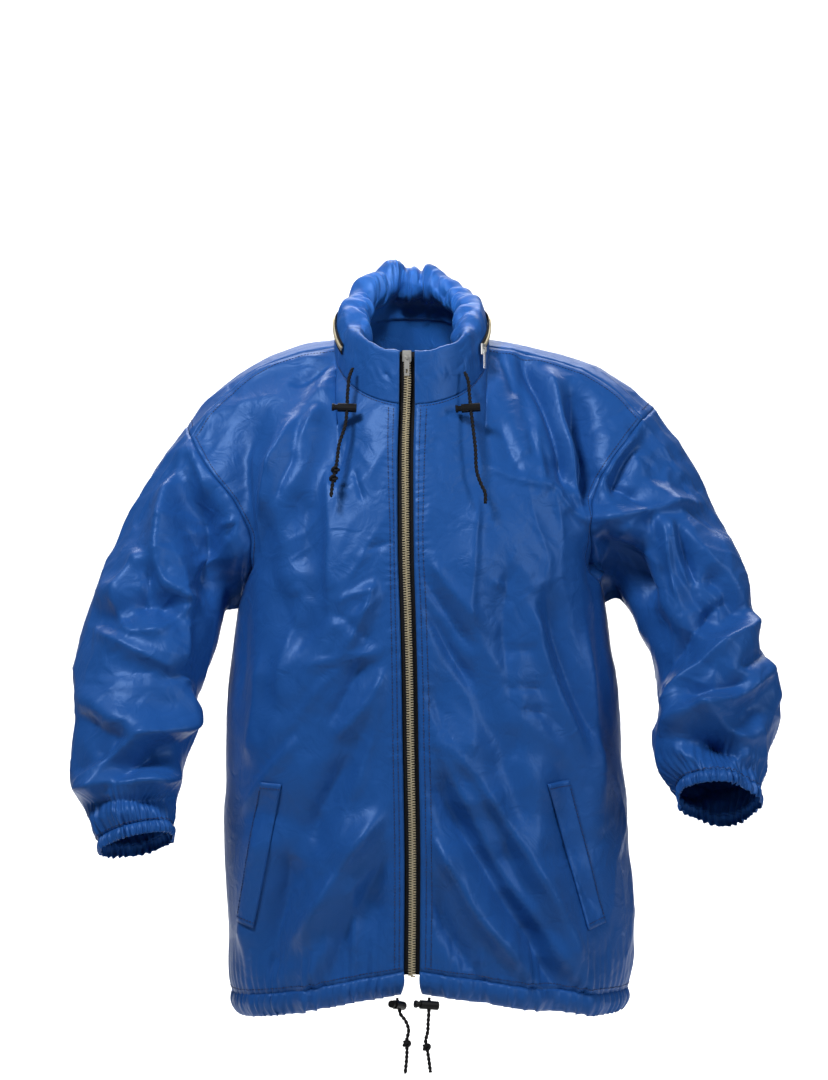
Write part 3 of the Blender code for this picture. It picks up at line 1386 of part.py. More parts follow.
def build():
    """Make the whole raincoat."""
    clear_scene()
    coat = new_collection("raincoat")
    cutters = new_collection("cutters")

    panels, normals = garment_panels()
    for name, (grid, closed, way) in panels.items():
        wall_object(name, grid, normals[name], way, closed, coat, nylon(name))
    make_collar(coat, nylon("collar"))
    for side in (RIGHT, LEFT):
        name = SIDE_NAMES[side] + "_front"
        make_welt(side, panels[name][0], normals[name], coat, nylon(name + " welt"))
        make_zip_tape(side, coat, make_finish(SIDE_NAMES[side] + " zip tape", BLACK, 0.8, 0.0))

    make_zip_chain(coat, make_finish("zip chain", BRASS, 0.35, 1.0))
    make_hood_zip(coat, make_finish("hood zip", BRASS, 0.4, 1.0))

    slider_z = ZIP_TOP_Z - SLIDER_BELOW_TOP
    axis_point = zip_middle(slider_z)
    axis_point[1] += CHAIN_FRONT - SLIDER_GAP - SLIDER_THICKNESS - PULL_AXIS_OUT
    zip_place = Matrix.Translation(Vector(axis_point))
    make_slider("zip_slider", zip_place, coat, cutters, make_finish("zip slider", SILVER, 0.3, 1.0))
    make_pull("zip_pull", zip_place, coat, cutters, make_finish("zip pull", SILVER, 0.3, 1.0))

    face, outward = collar_surface(HOOD_ZIP_START, HOOD_ZIP_SHARE)
    lift = HOOD_ZIP_LIFT + HOOD_ZIP_THICKNESS + HOOD_SLIDER_GAP + SLIDER_THICKNESS
    lift += PULL_AXIS_OUT
    turn = math.atan2(outward[0], -outward[1])
    hood_place = Matrix.Translation(Vector(face + outward * lift)) @ Matrix.Rotation(turn, 4, "Z")
    make_slider("hood_zip_slider", hood_place, coat, cutters,
                make_finish("hood zip slider", SILVER, 0.3, 1.0))
    make_pull("hood_zip_pull", hood_place, coat, cutters,
              make_finish("hood zip pull", SILVER, 0.3, 1.0))

    for name, place, plunger_way in CORD_LOCKS:
        route = next(points for cord, points in CORD_ROUTES.items()
                     if cord.replace("cord", "lock") == name)
        fine = path_points(route, CORD_WAY_POINTS)
        at = int(np.argmin(np.linalg.norm(fine - np.array(place), axis=1)))
        cord_way = fine[max(at - CORD_WAY_STEPS, 0)] - fine[at + CORD_WAY_STEPS]
        frame = lock_frame(fine[at], plunger_way, cord_way)
        make_cord_lock(name, frame, coat, cutters, make_finish(name, BLACK, 0.45, 0.0))
    for name, route in CORD_ROUTES.items():
        make_cord(name, route, coat, make_finish(name, BLACK, 0.9, 0.0))


build()
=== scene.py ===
# %% [markdown]
# # A zip-front raincoat of thin coated nylon
# The coat stands filled out as if worn, open and empty inside. The measured CAD model gives
# every piece its place; this script dresses it with finer cloth, sewing and finishes.
# Units are metres, +Z is up and the coat faces -Y.

# %% Load the measured frame
import math

import bmesh
import bpy
import numpy as np
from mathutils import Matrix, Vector, noise


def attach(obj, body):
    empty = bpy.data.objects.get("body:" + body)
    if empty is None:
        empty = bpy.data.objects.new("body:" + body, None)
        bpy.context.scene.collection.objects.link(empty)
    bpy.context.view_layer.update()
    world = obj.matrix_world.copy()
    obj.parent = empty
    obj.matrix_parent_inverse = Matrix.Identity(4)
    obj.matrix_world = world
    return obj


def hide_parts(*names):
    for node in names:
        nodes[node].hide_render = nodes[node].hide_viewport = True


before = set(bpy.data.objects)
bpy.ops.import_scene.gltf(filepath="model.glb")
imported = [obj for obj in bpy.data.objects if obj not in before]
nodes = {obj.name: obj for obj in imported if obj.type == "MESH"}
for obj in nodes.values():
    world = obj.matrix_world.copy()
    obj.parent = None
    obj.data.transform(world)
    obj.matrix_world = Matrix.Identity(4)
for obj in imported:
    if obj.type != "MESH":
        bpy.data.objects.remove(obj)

NOISE_SEED = 1795551132        # left alone, Blender's noise takes its seed from the clock

noise.seed_set(NOISE_SEED)
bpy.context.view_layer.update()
print("frame loaded:", len(nodes), "CAD nodes")

# %% [markdown]
# ## Camera
# The picture was taken square to the front with a long lens, level with the chest. A frame
# 1080 pixels high at a focal length of 3000 pixels is a 100 mm lens on a 36 mm high sensor.

# %% Camera
CAMERA_PLACE = (0.0022, -3.3, -0.2145)

camera_data = bpy.data.cameras.new("camera")
camera_data.sensor_fit = "VERTICAL"
camera_data.sensor_height = 36.0
camera_data.lens = 100.0
camera = bpy.data.objects.new("camera", camera_data)
camera.location = CAMERA_PLACE
camera.rotation_euler = (math.pi / 2, 0.0, 0.0)
bpy.context.collection.objects.link(camera)
bpy.context.scene.camera = camera
print("camera at", CAMERA_PLACE, "with a", camera_data.lens, "mm lens")

# %% [markdown]
# ## Small helpers for shapes
# Tables of sizes are read as smooth curves, so that a few rows describe a long soft form.

# %% Smooth tables and curves


def mix(a, b, t):
    """Go from a to b as t goes from 0 to 1."""
    return a + (b - a) * t


def ease(t):
    """A soft step from 0 to 1, for a number or for an array."""
    t = np.clip(t, 0.0, 1.0)
    return t * t * (3 - 2 * t)


def unit(vectors):
    """The same directions at length 1."""
    vectors = np.asarray(vectors, dtype=float)
    return vectors / np.maximum(np.linalg.norm(vectors, axis=-1, keepdims=True), 1e-12)


def read_table(rows, at):
    """Values of a table at a key in its first column, on a smooth curve through its rows."""
    table = np.array(rows, dtype=float)
    if table[0, 0] > table[-1, 0]:
        table = table[::-1]
    keys = table[:, 0]
    values = table[:, 1:]
    slopes = np.gradient(values, keys, axis=0)
    at = min(max(at, keys[0]), keys[-1])
    row = min(int(np.searchsorted(keys, at, side="right")) - 1, len(keys) - 2)
    step = keys[row + 1] - keys[row]
    t = (at - keys[row]) / step
    start = values[row] * (1 + 2 * t) * (1 - t) ** 2 + slopes[row] * step * t * (1 - t) ** 2
    end = values[row + 1] * t * t * (3 - 2 * t) + slopes[row + 1] * step * t * t * (t - 1)
    return start + end


def path_points(points, count):
    """Evenly spaced points, count + 1 of them, on a smooth curve through the given ones."""
    points = np.array(points, dtype=float)
    lengths = np.linalg.norm(np.diff(points, axis=0), axis=1)
    keys = np.concatenate(([0.0], np.cumsum(lengths)))
    rows = [tuple([key]) + tuple(point) for key, point in zip(keys, points)]
    fine = np.array([read_table(rows, key) for key in np.linspace(0, keys[-1], 40 * len(points))])
    travelled = np.concatenate(([0.0], np.cumsum(np.linalg.norm(np.diff(fine, axis=0), axis=1))))
    wanted = np.linspace(0, travelled[-1], count + 1)
    return np.stack([np.interp(wanted, travelled, fine[:, axis]) for axis in range(3)], axis=1)


# %% Objects from their data


def linked(name, data):
    """An object in the scene for a mesh, a curve or a lamp."""
    thing = bpy.data.objects.new(name, data)
    bpy.context.collection.objects.link(thing)
    return thing


def mesh_object(name, points, faces, finish=None, edges=()):
    """An object with its own mesh; with a finish, it is shaded smooth."""
    mesh = bpy.data.meshes.new(name)
    mesh.from_pydata(points, edges, faces)
    if finish is not None:
        mesh.shade_smooth()
        mesh.materials.append(finish)
    return linked(name, mesh)


# %% [markdown]
# ## Finishes
# Coated nylon is a plain blue cloth with a soft satin shine. Its weave is far too fine to
# model, so a small node group gives it as height for a Bump node, with a faint crumple. The
# same group is used by every piece of nylon, with its own values.

# %% Node helpers and the cloth group


def new_socket(tree, name, kind, way, value=None):
    """A named socket on a node group."""
    socket = tree.interface.new_socket(name=name, in_out=way, socket_type=kind)
    if value is not None:
        socket.default_value = value
    return socket


def set_inputs(node, values):
    """Give a node's inputs their values."""
    for socket, value in values.items():
        node.inputs[socket].default_value = value


def new_node(tree, kind, values=None, **settings):
    """A node with its settings and the values of its inputs."""
    node = tree.nodes.new(kind)
    for setting, value in settings.items():
        setattr(node, setting, value)
    set_inputs(node, values or {})
    return node


def link_nodes(tree, *links):
    """Link nodes; each link names a node and its output, then a node and its input."""
    for source, output, target, socket in links:
        tree.links.new(source.outputs[output], target.inputs[socket])


def make_cloth_group():
    """Height of a fine weave with soft crumples, from object coordinates in metres."""
    tree = bpy.data.node_groups.new("fine woven cloth", "ShaderNodeTree")
    for name, value in (("Threads per metre", 1500.0), ("Weave depth", 0.1),
                        ("Crumple size", 45.0), ("Crumple depth", 1.0)):
        new_socket(tree, name, "NodeSocketFloat", "INPUT", value)
    for name in ("Height", "Cloudiness"):
        new_socket(tree, name, "NodeSocketFloat", "OUTPUT")
    group_in = new_node(tree, "NodeGroupInput")
    group_out = new_node(tree, "NodeGroupOutput")
    place = new_node(tree, "ShaderNodeTexCoord")
    weave = new_node(tree, "ShaderNodeTexNoise")
    crumple = new_node(tree, "ShaderNodeTexNoise",
                       {"Detail": 4.0, "Roughness": 0.45, "Distortion": 1.2})
    weave_height = new_node(tree, "ShaderNodeMath", operation="MULTIPLY")
    total = new_node(tree, "ShaderNodeMath", operation="MULTIPLY_ADD")
    link_nodes(tree,
               (place, "Object", weave, "Vector"),
               (group_in, "Threads per metre", weave, "Scale"),
               (place, "Object", crumple, "Vector"),
               (group_in, "Crumple size", crumple, "Scale"),
               (weave, "Fac", weave_height, 0), (group_in, "Weave depth", weave_height, 1),
               (crumple, "Fac", total, 0), (group_in, "Crumple depth", total, 1),
               (weave_height, "Value", total, 2),
               (total, "Value", group_out, "Height"), (crumple, "Fac", group_out, "Cloudiness"))
    return tree


CLOTH_GROUP = make_cloth_group()


def plain_finish(name, colour, roughness, metallic=0.0):
    """A Principled material of one colour, and its shader."""
    finish = bpy.data.materials.new(name)
    finish.use_nodes = True
    shader = finish.node_tree.nodes["Principled BSDF"]
    set_inputs(shader, {"Base Color": (*colour, 1.0), "Roughness": roughness,
                        "Metallic": metallic})
    return finish, shader


def cloth_finish(name, colour, shade, roughness, threads, weave, crumple_size, crumple, bump):
    """Woven cloth: its colour drifts a little towards a second shade, and its bump is fine."""
    finish, shader = plain_finish(name, colour, roughness)
    tree = finish.node_tree
    group = new_node(tree, "ShaderNodeGroup", node_tree=CLOTH_GROUP)
    set_inputs(group, {"Threads per metre": threads, "Weave depth": weave,
                       "Crumple size": crumple_size, "Crumple depth": crumple})
    drift = new_node(tree, "ShaderNodeMix", {"A": (*colour, 1.0), "B": (*shade, 1.0)},
                     data_type="RGBA")
    height = new_node(tree, "ShaderNodeBump", {"Distance": bump, "Strength": 1.0})
    link_nodes(tree,
               (group, "Cloudiness", drift, "Factor"), (drift, "Result", shader, "Base Color"),
               (group, "Height", height, "Height"), (height, "Normal", shader, "Normal"))
    return finish, shader


# %% The coat's finishes
NYLON_BLUE = (0.010, 0.068, 0.27)
NYLON_SHADE = (0.014, 0.082, 0.31)

nylon, nylon_shader = cloth_finish("blue coated nylon", NYLON_BLUE, NYLON_SHADE,
                                   roughness=0.42, threads=1400.0, weave=0.06,
                                   crumple_size=42.0, crumple=1.0, bump=0.0016)
set_inputs(nylon_shader, {"Specular IOR Level": 0.38, "Specular Tint": (0.35, 0.58, 1.0, 1.0),
                          "Sheen Weight": 0.04, "Sheen Roughness": 0.4,
                          "Sheen Tint": (0.35, 0.55, 1.0, 1.0)})
cord_finish, cord_shader = cloth_finish("black braided cord", (0.004, 0.004, 0.005),
                                        (0.009, 0.009, 0.011), roughness=0.75, threads=1100.0,
                                        weave=1.0, crumple_size=300.0, crumple=0.6,
                                        bump=0.0006)
tape_finish, tape_shader = cloth_finish("black zip tape", (0.004, 0.005, 0.008),
                                        (0.008, 0.009, 0.013), roughness=0.85, threads=1300.0,
                                        weave=1.0, crumple_size=200.0, crumple=0.2,
                                        bump=0.0004)
black_plastic, plastic_shader = plain_finish("black plastic lock", (0.004, 0.004, 0.005), 0.42)
for shader in (cord_shader, tape_shader, plastic_shader):
    set_inputs(shader, {"Specular IOR Level": 0.22})
brass = plain_finish("antique brass teeth", (0.74, 0.65, 0.45), 0.45, metallic=0.8)[0]
steel = plain_finish("nickel slider", (0.84, 0.83, 0.79), 0.36, metallic=0.85)[0]
thread = plain_finish("blue sewing thread", (0.004, 0.022, 0.10), 0.6)[0]
print("finishes:", len(bpy.data.materials))

# %% [markdown]
# ## Drawstring ends
# Each drawstring is a black cord, about 4 mm thick. The two at the neck hang from eyelets
# under the collar; the two at the hem come out beside the zip. A real cord is braided from
# many strands. Two strands laid round one centre line give the same ridges from a distance,
# and that line stays known, so the cord's length can be measured along it.

# %% The four cords
CORD_DIAMETER = 0.0042
CORD_STEPS = 200
STRAND_RADIUS = 0.00140
STRAND_TURN = 0.0095           # along the cord, for one full turn of a strand
STRAND_SIDES = 8
CORD_ROUTES = {
    "collar_cord_right": (
        (-0.0632, -0.0865, -0.0300), (-0.0665, -0.0925, -0.0390), (-0.0684, -0.1000, -0.0560),
        (-0.0690, -0.1085, -0.0738), (-0.0705, -0.1170, -0.0920), (-0.0768, -0.1265, -0.1130),
        (-0.0796, -0.1360, -0.1350), (-0.0822, -0.1420, -0.1480), (-0.0836, -0.1455, -0.1570),
        (-0.0850, -0.1490, -0.1695),
    ),
    "collar_cord_left": (
        (0.0562, -0.0905, -0.0345), (0.0600, -0.0965, -0.0440), (0.0612, -0.1020, -0.0580),
        (0.0625, -0.1095, -0.0738), (0.0645, -0.1175, -0.0920), (0.0672, -0.1290, -0.1180),
        (0.0690, -0.1380, -0.1445), (0.0735, -0.1420, -0.1570), (0.0768, -0.1455, -0.1640),
        (0.0772, -0.1490, -0.1765),
    ),
    "hem_cord_right": (
        (-0.0157, -0.1503, -0.6951), (-0.0140, -0.1530, -0.7025), (-0.0129, -0.1548, -0.7076),
        (-0.0121, -0.1560, -0.7108), (-0.0068, -0.1575, -0.7180), (-0.0036, -0.1565, -0.7270),
        (-0.0055, -0.1545, -0.7400), (-0.0052, -0.1535, -0.7500), (-0.0070, -0.1525, -0.7745),
    ),
    "hem_cord_left": (
        (0.0182, -0.1525, -0.6943), (0.0180, -0.1545, -0.7020), (0.0178, -0.1559, -0.7073),
        (0.0177, -0.1567, -0.7107), (0.0170, -0.1575, -0.7200), (0.0166, -0.1560, -0.7290),
        (0.0144, -0.1545, -0.7400), (0.0166, -0.1535, -0.7520), (0.0196, -0.1525, -0.7735),
    ),
}


def twisted_cord(name, line, finish):
    """Two strands laid round each other along a line, as one mesh with rounded ends."""
    step = np.linalg.norm(np.diff(line, axis=0), axis=1)
    along = np.concatenate(((0.0,), np.cumsum(step)))
    ways = unit(np.gradient(line, axis=0))
    first = unit(np.cross(ways, (0.2, 1.0, 0.1)))
    second = np.cross(ways, first)
    points = []
    faces = []
    sides = STRAND_SIDES
    for strand in (0.0, math.pi):
        turn = along / STRAND_TURN * 2 * math.pi + strand
        off = CORD_DIAMETER / 2 - STRAND_RADIUS
        centre = (line + first * (off * np.cos(turn))[:, None]
                  + second * (off * np.sin(turn))[:, None])
        start = len(points)
        for k, middle in enumerate(centre):
            near_end = min(along[k], along[-1] - along[k]) / STRAND_RADIUS
            radius = STRAND_RADIUS * math.sqrt(max(1 - max(1 - near_end, 0.0) ** 2, 0.04))
            for a in np.linspace(0, 2 * math.pi, sides, endpoint=False):
                points.append(middle + (first[k] * math.cos(a) + second[k] * math.sin(a))
                              * radius)
        for k in range(len(centre) - 1):
            for a in range(sides):
                low, high = start + k * sides, start + (k + 1) * sides
                faces.append((low + a, low + (a + 1) % sides, high + (a + 1) % sides, high + a))
        last = start + (len(centre) - 1) * sides
        faces.append(tuple(start + a for a in range(sides))[::-1])
        faces.append(tuple(last + a for a in range(sides)))
    return mesh_object(name, [tuple(point) for point in points], faces, finish)


for name, route in CORD_ROUTES.items():
    line = path_points(route, CORD_STEPS)
    cord = twisted_cord(name + "_braid", line, cord_finish)
    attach(cord, "garment")
    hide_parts(name)

# %% [markdown]
# ## The coat's form
# A sewn coat is a set of flat panels that turn round when the coat is filled out. Each panel
# is built as a grid of points: rows go up the body, columns go round it. The sizes are the
# same as in the CAD model, read at a finer step.

# %% Sizes of the form
RIGHT = -1
LEFT = 1
SIDE_NAMES = {RIGHT: "right", LEFT: "left"}
FINE = 8                       # cells of this cloth to one cell of the CAD model

LOW_ROWS = 10 * FINE
HIGH_ROWS = 11 * FINE
NECK_COLUMNS = 5 * FINE
SHOULDER_COLUMNS = 9 * FINE
BACK_NECK_COLUMNS = 8 * FINE
SLEEVE_ROWS = 22 * FINE

ZIP_GAP = 0.0085
ZIP_TOP_Z = -0.0115
ZIP_BOTTOM_Z = -0.6715
NECK_HALF_WIDTH = 0.083
NECK_HALF_DEPTH = 0.090
NECK_MIDDLE_Y = -0.015
NECK_FRONT_DROP = 0.0685
NECK_BACK_RISE = 0.035
NECK_POINT_ANGLE = math.radians(88)
BODY_SQUARENESS = 2.4
SECTION_WIDTH = 0.21           # half width and depth of a middle section of the body
SECTION_DEPTH = 0.155
CASING_HEIGHT = 0.024
CUFF_HEIGHT = 0.013

# Middle of the closed zip: z, x, y.
ZIP_LINE = (
    (-0.0115, -0.0058, -0.1000), (-0.0440, -0.0047, -0.1030), (-0.0685, -0.0054, -0.1047),
    (-0.1086, -0.0068, -0.1195), (-0.1724, -0.0068, -0.1385), (-0.2355, -0.0062, -0.1500),
    (-0.2983, -0.0041, -0.1560), (-0.3611, -0.0025, -0.1580), (-0.4240, -0.0015, -0.1580),
    (-0.5502, 0.0006, -0.1540), (-0.6450, 0.0001, -0.1500), (-0.7000, -0.0004, -0.1480),
)
# Height of the side seam, half widths to the right and left, depth of the back.
TORSO = (
    (-0.742, 0.184, 0.219, 0.146), (-0.720, 0.192, 0.229, 0.149),
    (-0.693, 0.199, 0.2365, 0.151), (-0.640, 0.2005, 0.2415, 0.153),
    (-0.548, 0.2050, 0.2365, 0.153), (-0.470, 0.2040, 0.2320, 0.152),
    (-0.390, 0.2025, 0.2266, 0.151), (-0.337, 0.1970, 0.2185, 0.150),
    (-0.284, 0.1905, 0.2130, 0.148),
)
HEM_FRONT_Z = -0.692
HEM_SIDE_Z = {RIGHT: -0.730, LEFT: -0.727}
HEM_BACK_Z = -0.711
HEM_FLARE = {RIGHT: 0.004, LEFT: 0.010}
ARMHOLE_FRONT = {
    RIGHT: ((0.1905, 0.000, -0.2880), (0.1795, -0.060, -0.2620), (0.1720, -0.093, -0.2220),
            (0.1880, -0.092, -0.1780), (0.2170, -0.072, -0.1400), (0.2398, -0.045, -0.1027)),
    LEFT: ((0.2130, 0.000, -0.2840), (0.2000, -0.062, -0.2500), (0.1910, -0.094, -0.1980),
           (0.2050, -0.087, -0.1450), (0.2300, -0.062, -0.1080), (0.2507, -0.045, -0.0837)),
}
ARMHOLE_BACK = {
    RIGHT: ((0.1905, 0.000, -0.2880), (0.1840, 0.055, -0.2580), (0.1790, 0.083, -0.2160),
            (0.1900, 0.088, -0.1620), (0.2300, 0.046, -0.1060), (0.2475, 0.000, -0.0885),
            (0.2398, -0.045, -0.1027)),
    LEFT: ((0.2130, 0.000, -0.2840), (0.2040, 0.055, -0.2500), (0.1980, 0.088, -0.2000),
           (0.2080, 0.086, -0.1400), (0.2470, 0.046, -0.0870), (0.2673, 0.000, -0.0693),
           (0.2507, -0.045, -0.0837)),
}
SHOULDER_SEAM = {
    RIGHT: ((0.1350, -0.019, -0.0130), (0.1850, -0.024, -0.0390), (0.2180, -0.034, -0.0720)),
    LEFT: ((0.1350, -0.019, -0.0120), (0.1864, -0.023, -0.0290), (0.2240, -0.033, -0.0530)),
}
# Sleeve sections: outer x and z, inner x and z, depth y and half depth.
SLEEVE = {
    LEFT: (
        (0.2673, -0.0693, 0.2130, -0.2840, 0.000, 0.086),
        (0.3052, -0.1259, 0.2240, -0.2815, -0.006, 0.082),
        (0.3290, -0.1785, 0.2350, -0.2895, -0.018, 0.079),
        (0.3541, -0.2275, 0.2476, -0.3130, -0.035, 0.076),
        (0.3660, -0.2826, 0.2607, -0.3464, -0.056, 0.073),
        (0.3735, -0.3290, 0.2665, -0.3738, -0.071, 0.070),
        (0.3932, -0.3677, 0.2663, -0.3902, -0.087, 0.067),
        (0.3899, -0.4084, 0.2633, -0.4084, -0.104, 0.063),
        (0.3774, -0.4392, 0.2577, -0.4329, -0.120, 0.058),
        (0.3706, -0.4646, 0.2651, -0.4563, -0.133, 0.052),
        (0.3597, -0.4868, 0.2808, -0.4700, -0.145, 0.043),
    ),
    RIGHT: (
        (0.2475, -0.0885, 0.1905, -0.2880, 0.000, 0.086),
        (0.2740, -0.1259, 0.1990, -0.2885, -0.006, 0.082),
        (0.3050, -0.1785, 0.2050, -0.2935, -0.018, 0.079),
        (0.3275, -0.2286, 0.2085, -0.3075, -0.035, 0.076),
        (0.3455, -0.2794, 0.2112, -0.3300, -0.056, 0.074),
        (0.3590, -0.3276, 0.2220, -0.3588, -0.071, 0.071),
        (0.3612, -0.3752, 0.2315, -0.3859, -0.087, 0.068),
        (0.3591, -0.4085, 0.2275, -0.4032, -0.102, 0.066),
        (0.3581, -0.4445, 0.2410, -0.4424, -0.119, 0.061),
        (0.3560, -0.4741, 0.2420, -0.4678, -0.133, 0.057),
        (0.3425, -0.5036, 0.2510, -0.4942, -0.146, 0.049),
        (0.3259, -0.5311, 0.2524, -0.5122, -0.154, 0.042),
    ),
}

# %% [markdown]
# ## Fronts and back
# Below the underarm every row is part of a rounded section from the zip to the side seam.
# Above it the rows run up in soft curves to the neck and shoulder seams, and the armhole is
# scooped out at the side.

# %% Grids of the body


def even_section_angles():
    """Angles on the body's rounded section, evenly spaced along its outline."""
    angles = np.linspace(0, math.pi / 2, 400)
    power = 2 / BODY_SQUARENESS
    across = SECTION_WIDTH * np.sin(angles) ** power
    out = SECTION_DEPTH * np.cos(angles) ** power
    steps = np.hypot(np.diff(across), np.diff(out))
    travelled = np.concatenate(([0.0], np.cumsum(steps)))
    return travelled / travelled[-1], angles


SECTION_FRACTIONS, SECTION_ANGLES = even_section_angles()


def low_row(start, end, u):
    """Points on a rounded row from the middle of the body to its side seam."""
    angle = np.interp(u, SECTION_FRACTIONS, SECTION_ANGLES)
    power = 2 / BODY_SQUARENESS
    across = np.sin(angle) ** power
    back = 1 - np.maximum(np.cos(angle), 0.0) ** power
    return start + (end - start) * np.stack((across, back, across), axis=-1)


def zip_middle(z):
    """The middle of the zip at a height."""
    x, y = read_table(ZIP_LINE, z)
    return np.array((x, y, z))


def side_seam(side, t):
    """A point of a side seam: t goes from the hem casing to the underarm."""
    z = mix(HEM_SIDE_Z[side] + CASING_HEIGHT, ARMHOLE_FRONT[side][0][2], t)
    right, left = read_table(TORSO, z)[:2]
    return np.array((side * (left if side == LEFT else right), 0.0, z))


def front_edge(side, z):
    """The zip edge of a front, which swings aside below the end of the zip."""
    swing = float(ease((ZIP_BOTTOM_Z - z) / 0.03)) * HEM_FLARE[side]
    return zip_middle(z) + np.array((side * (ZIP_GAP + swing), 0.0, 0.0))


def low_front(side, t, u):
    """A row of a front between the hem casing and the underarm."""
    z = mix(HEM_FRONT_Z + CASING_HEIGHT, ARMHOLE_FRONT[side][0][2], t)
    return low_row(front_edge(side, z), side_seam(side, t), u)


def low_back(side, t, u):
    """A row of one half of the back between the hem casing and the underarm."""
    underarm_z = 0.5 * (ARMHOLE_FRONT[LEFT][0][2] + ARMHOLE_FRONT[RIGHT][0][2])
    z = mix(HEM_BACK_Z + CASING_HEIGHT, underarm_z, t)
    depth = read_table(TORSO, z)[2]
    return low_row(np.array((0.0, depth, z)), side_seam(side, t), u)


def neck_seam(angle):
    """A point of the neck seam: 0 is the middle of the front, pi the middle of the back."""
    forward = math.cos(angle)
    if forward > 0:
        z = -NECK_FRONT_DROP * (1.15 * forward - 0.15 * forward ** 2)
    else:
        z = -NECK_BACK_RISE * forward
    x = NECK_HALF_WIDTH * math.sin(angle)
    return np.array((x, NECK_MIDDLE_Y - NECK_HALF_DEPTH * forward, z))


def neck_edge_angle(side):
    """The angle at which a front's zip edge meets the neck seam."""
    return math.asin(side * front_edge(side, -NECK_FRONT_DROP)[0] / NECK_HALF_WIDTH)


def neck_side(side, angle):
    """A point of the neck seam on one side, by its angle from the middle of the front."""
    return neck_seam(angle) * np.array((side, 1, 1))


def mirrored(points, side):
    """Points given by their distance from the middle, placed on one side."""
    return [(side * x, y, z) for x, y, z in points]


def shoulder_seam(side):
    """The shoulder seam from the neck to the armhole, one point for each column's edge."""
    neck_point = tuple(neck_side(side, NECK_POINT_ANGLE))
    rest = mirrored(SHOULDER_SEAM[side] + ARMHOLE_FRONT[side][-1:], side)
    return path_points([neck_point] + rest, SHOULDER_COLUMNS)


def armhole(side, face):
    """One edge of an armhole from the underarm to the shoulder seam."""
    table = ARMHOLE_FRONT if face == "front" else ARMHOLE_BACK
    return path_points(mirrored(table[side], side), HIGH_ROWS)


def hermite(start, end, start_way, end_way, t):
    """Points on the curves that leave start along start_way and reach end along end_way."""
    first = start * (1 + 2 * t) * (1 - t) ** 2 + start_way * t * (1 - t) ** 2
    last = end * t * t * (3 - 2 * t) - end_way * t * t * (1 - t)
    return first + last


def front_grid(side):
    """The points of a front: rows from the hem casing up, columns from the zip outwards."""
    u = np.linspace(0, 1, NECK_COLUMNS + SHOULDER_COLUMNS + 1)
    rows = [low_front(side, i / LOW_ROWS, u) for i in range(LOW_ROWS)]
    neck = [neck_side(side, mix(neck_edge_angle(side), NECK_POINT_ANGLE, k / NECK_COLUMNS))
            for k in range(NECK_COLUMNS)]
    top = np.array(neck + list(shoulder_seam(side)))
    edge = armhole(side, "front")
    column = u[:, None]
    for i in range(HIGH_ROWS + 1):
        t = i / HIGH_ROWS
        start = low_front(side, 1.0, u * (1 - 0.26 * float(ease(t / 0.45))))
        reach = np.linalg.norm(top - start, axis=1)[:, None] * 0.95
        back = np.stack((u * 0, mix(0.55, 0.95, u), u * 0 + 0.75), axis=1)
        row = hermite(start, top, np.array((0.0, -0.05, 1.0)) * reach, back * reach, t)
        to_edge = edge[i] - row[-1]
        to_middle = front_edge(side, mix(start[0][2], top[0][2], t)) - row[0]
        rows.append(row + to_edge * column ** 2.2 + to_middle * (1 - column) ** 4 * (1 - t ** 8))
    return np.array(rows)


def back_grid():
    """The points of the back: rows from the hem casing up, columns from right to left."""
    half = SHOULDER_COLUMNS + BACK_NECK_COLUMNS // 2
    u = np.linspace(0, 1, half + 1)

    def both_halves(t, share):
        right = low_back(RIGHT, t, u * share)[::-1]
        return np.concatenate((right, low_back(LEFT, t, u * share)[1:]))

    rows = [both_halves(i / LOW_ROWS, 1.0) for i in range(LOW_ROWS)]
    around = np.linspace(NECK_POINT_ANGLE, 2 * math.pi - NECK_POINT_ANGLE, BACK_NECK_COLUMNS + 1)
    neck = [neck_seam(angle) for angle in around[::-1]][1:-1]
    top = np.array(list(shoulder_seam(RIGHT))[::-1] + neck + list(shoulder_seam(LEFT)))
    edges = {side: armhole(side, "back") for side in (RIGHT, LEFT)}
    column = np.concatenate((u[::-1], u[1:]))[:, None]
    is_left = (np.arange(2 * half + 1) >= half)[:, None]
    over = ease((column - 0.04) / 0.28)
    for i in range(HIGH_ROWS + 1):
        t = i / HIGH_ROWS
        start = both_halves(1.0, 1 - 0.22 * float(ease(t / 0.45)))
        reach = np.linalg.norm(top - start, axis=1)[:, None]
        up = np.array((0.0, 0.10, 1.0)) * reach * mix(0.9, 1.05, over)
        forward = mix(np.array((0.0, -0.35, 0.9)), np.array((0.0, -1.0, -0.5)), over)
        row = hermite(start, top, up, forward * reach * mix(0.8, 1.1, over), t)
        to_edge = np.where(is_left, edges[LEFT][i] - row[-1], edges[RIGHT][i] - row[0])
        rows.append(row + to_edge * column ** 3)
    return np.array(rows)


# %% [markdown]
# ## Sleeves
# A sleeve is a ring of points that starts on the armhole and follows the bent arm to the cuff.

# %% Grid of a sleeve


